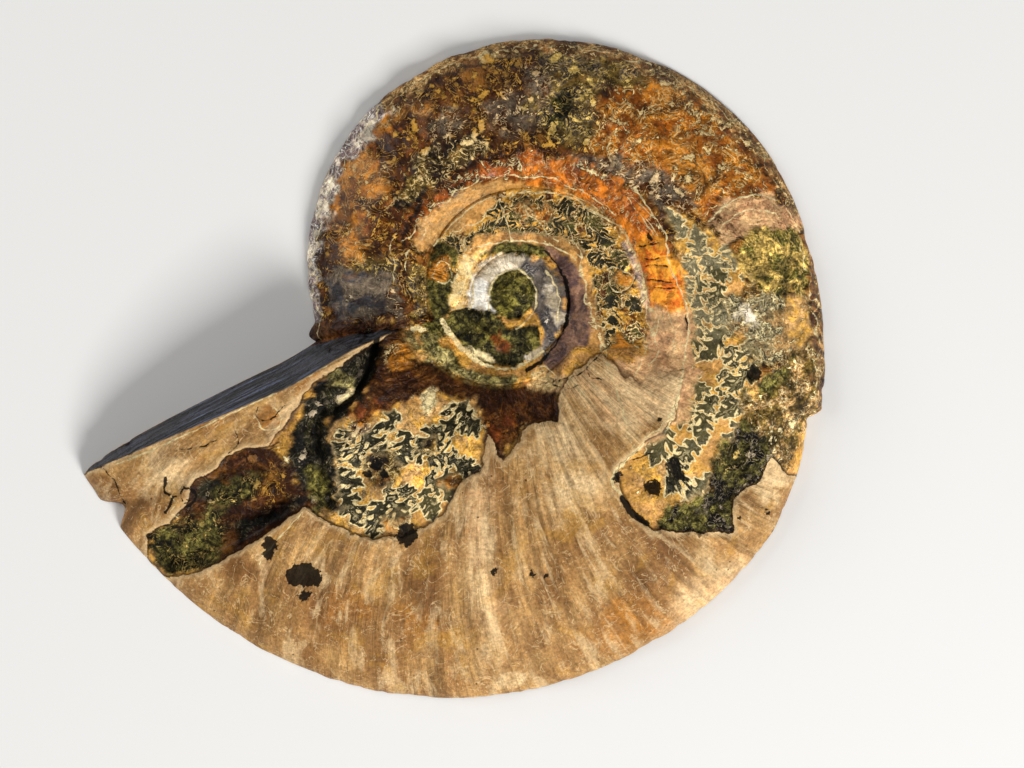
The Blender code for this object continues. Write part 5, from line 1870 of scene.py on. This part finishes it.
# %% The material of the cut
LIVING_FROM, LIVING_FULL = 3.5, 3.9  # radians along the last turn where the living chamber begins
CUT_ROUGHNESS = 0.16
nearest_wall = wall_gap.math("MINIMUM", wall_gap, septum_gap)
layers = sawn.noise(sawn.join(nearest_wall, chamber_random * 30), 0.9, 3, 0.5)
cloudy = sawn.noise(cut_position, 5, 4, 0.6, 0.5)
crystals = sawn.noise(cut_position, 0.9, 3, 0.65)
section = Coat(sawn, rgb("amber"))
section.lay(chamber_random.ease(0.3, 0.7), "golden cream")
section.lay(layers.ease(0.35, 0.65), "brown")
section.lay(cloudy.ease(0.45, 0.65) * 0.7, "honey")
section.lay(chamber_random.ease(0.72, 0.8), "umber")
section.shade((crystals - 0.5) * 1.2 + (cloudy - 0.5) * 1.4 + 1)
filling = Coat(sawn, rgb("warm grey"))
filling.lay(cloudy.ease(0.4, 0.6), "brown tan")
filling.lay(crystals.ease(0.66, 0.7), "pale tan")
filling.shade(crystals - 0.5 + 0.9)
in_last_turn = turns.math("GREATER_THAN", turns, -1)
uneven = sawn.noise(cut_position, 9, 4, 0.6) * 0.3 - 0.1
newest = cut_turned.ease(LIVING_FROM, LIVING_FULL)
living = (uneven + in_last_turn * newest).ease(0.92, 1)
section.lay(living, filling.colour)
section.lay(septum_gap.ease(0.4, 0.2) * (1 - living), "pale tan")
section.lay(wall_gap.ease(0.6, 0.35), "dark brown")
sawn.feed(sawn.surface.inputs["Base Color"], section.colour)
sawn.feed(sawn.surface.inputs["Roughness"], CUT_ROUGHNESS)
fossil.data.materials.append(sawn.material)
for sawn_face in cut:
    sawn_face.material_index = 1
sawn.tell("in all")

# %% [markdown]
# ## Floor, camera and light
#
# The fossil lies on a plain pale floor, so that nothing but the fossil has colour.

# %% The floor
FLOOR_SIZE, FLOOR_GAP = 4, 0.0002  # metres
FLOOR_COLOUR, FLOOR_ROUGHNESS = (0.82, 0.81, 0.79, 1), 0.8
bpy.ops.object.select_all(action="DESELECT")
bpy.ops.mesh.primitive_plane_add(size=FLOOR_SIZE, location=(0, 0, cad_low[2] * MM - FLOOR_GAP))
floor = bpy.context.object
floor.name = "floor"
floor_graph = Graph("pale_floor")
floor_graph.feed(floor_graph.surface.inputs["Base Color"], FLOOR_COLOUR)
floor_graph.feed(floor_graph.surface.inputs["Roughness"], FLOOR_ROUGHNESS)
floor.data.materials.append(floor_graph.material)
print("the floor lies at", round(floor.location.z / MM, 2), "mm")

# %% [markdown]
# The camera looks straight down on the fossil. A long lens far away shows the dome almost
# without perspective.

# %% The camera
VIEW_WIDTH = 163.84  # mm across the view
VIEW_CENTRE = (-0.16, -14.08)
LENS, SENSOR = 200, 36
CLIP = 0.05, 10  # metres
camera_data = bpy.data.cameras.new("camera")
camera_data.lens, camera_data.sensor_width = LENS, SENSOR
camera_data.clip_start, camera_data.clip_end = CLIP
camera = bpy.data.objects.new("camera", camera_data)
bpy.context.scene.collection.objects.link(camera)
camera.location = (VIEW_CENTRE[0] * MM, VIEW_CENTRE[1] * MM, VIEW_WIDTH * MM * LENS / SENSOR)
bpy.context.scene.camera = camera
print("the camera hangs", round(camera.location.z, 2), "m above the floor")

# %% [markdown]
# One soft lamp low on the right rakes across the relief. A weaker one across from it and a pale
# sky fill the shadows.

# %% The lamps
LAMPS = {  # direction and height in degrees, distance and size in metres, power in watts
    "key": (-50, 34, 1, 0.3, 11),
    "fill": (158, 32, 1, 0.6, 4.5),
}
SKY_COLOUR, SKY_STRENGTH = (1, 1, 1, 1), 0.22


def lamp(name, azimuth, elevation, away_m, size, power):
    """A square lamp that looks at the fossil."""
    data = bpy.data.lights.new(name, "AREA")
    data.size, data.energy = size, power
    made = bpy.data.objects.new(name, data)
    bpy.context.scene.collection.objects.link(made)
    around, up = math.radians(azimuth), math.radians(elevation)
    away = Vector((math.cos(around) * math.cos(up), math.sin(around) * math.cos(up), math.sin(up)))
    made.location = away * away_m
    made.rotation_euler = away.to_track_quat("Z", "Y").to_euler()


for name, settings in LAMPS.items():
    lamp(name, *settings)
world = bpy.data.worlds.new("studio")
bpy.context.scene.world = world
world.use_nodes = True
sky = world.node_tree.nodes["Background"].inputs
sky["Color"].default_value, sky["Strength"].default_value = SKY_COLOUR, SKY_STRENGTH
bpy.context.scene.view_settings.view_transform = "Standard"
print(len(LAMPS), "lamps and a sky of strength", SKY_STRENGTH)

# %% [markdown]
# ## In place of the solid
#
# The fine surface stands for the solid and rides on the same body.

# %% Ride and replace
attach(fossil, BODY)
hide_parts(NODE)
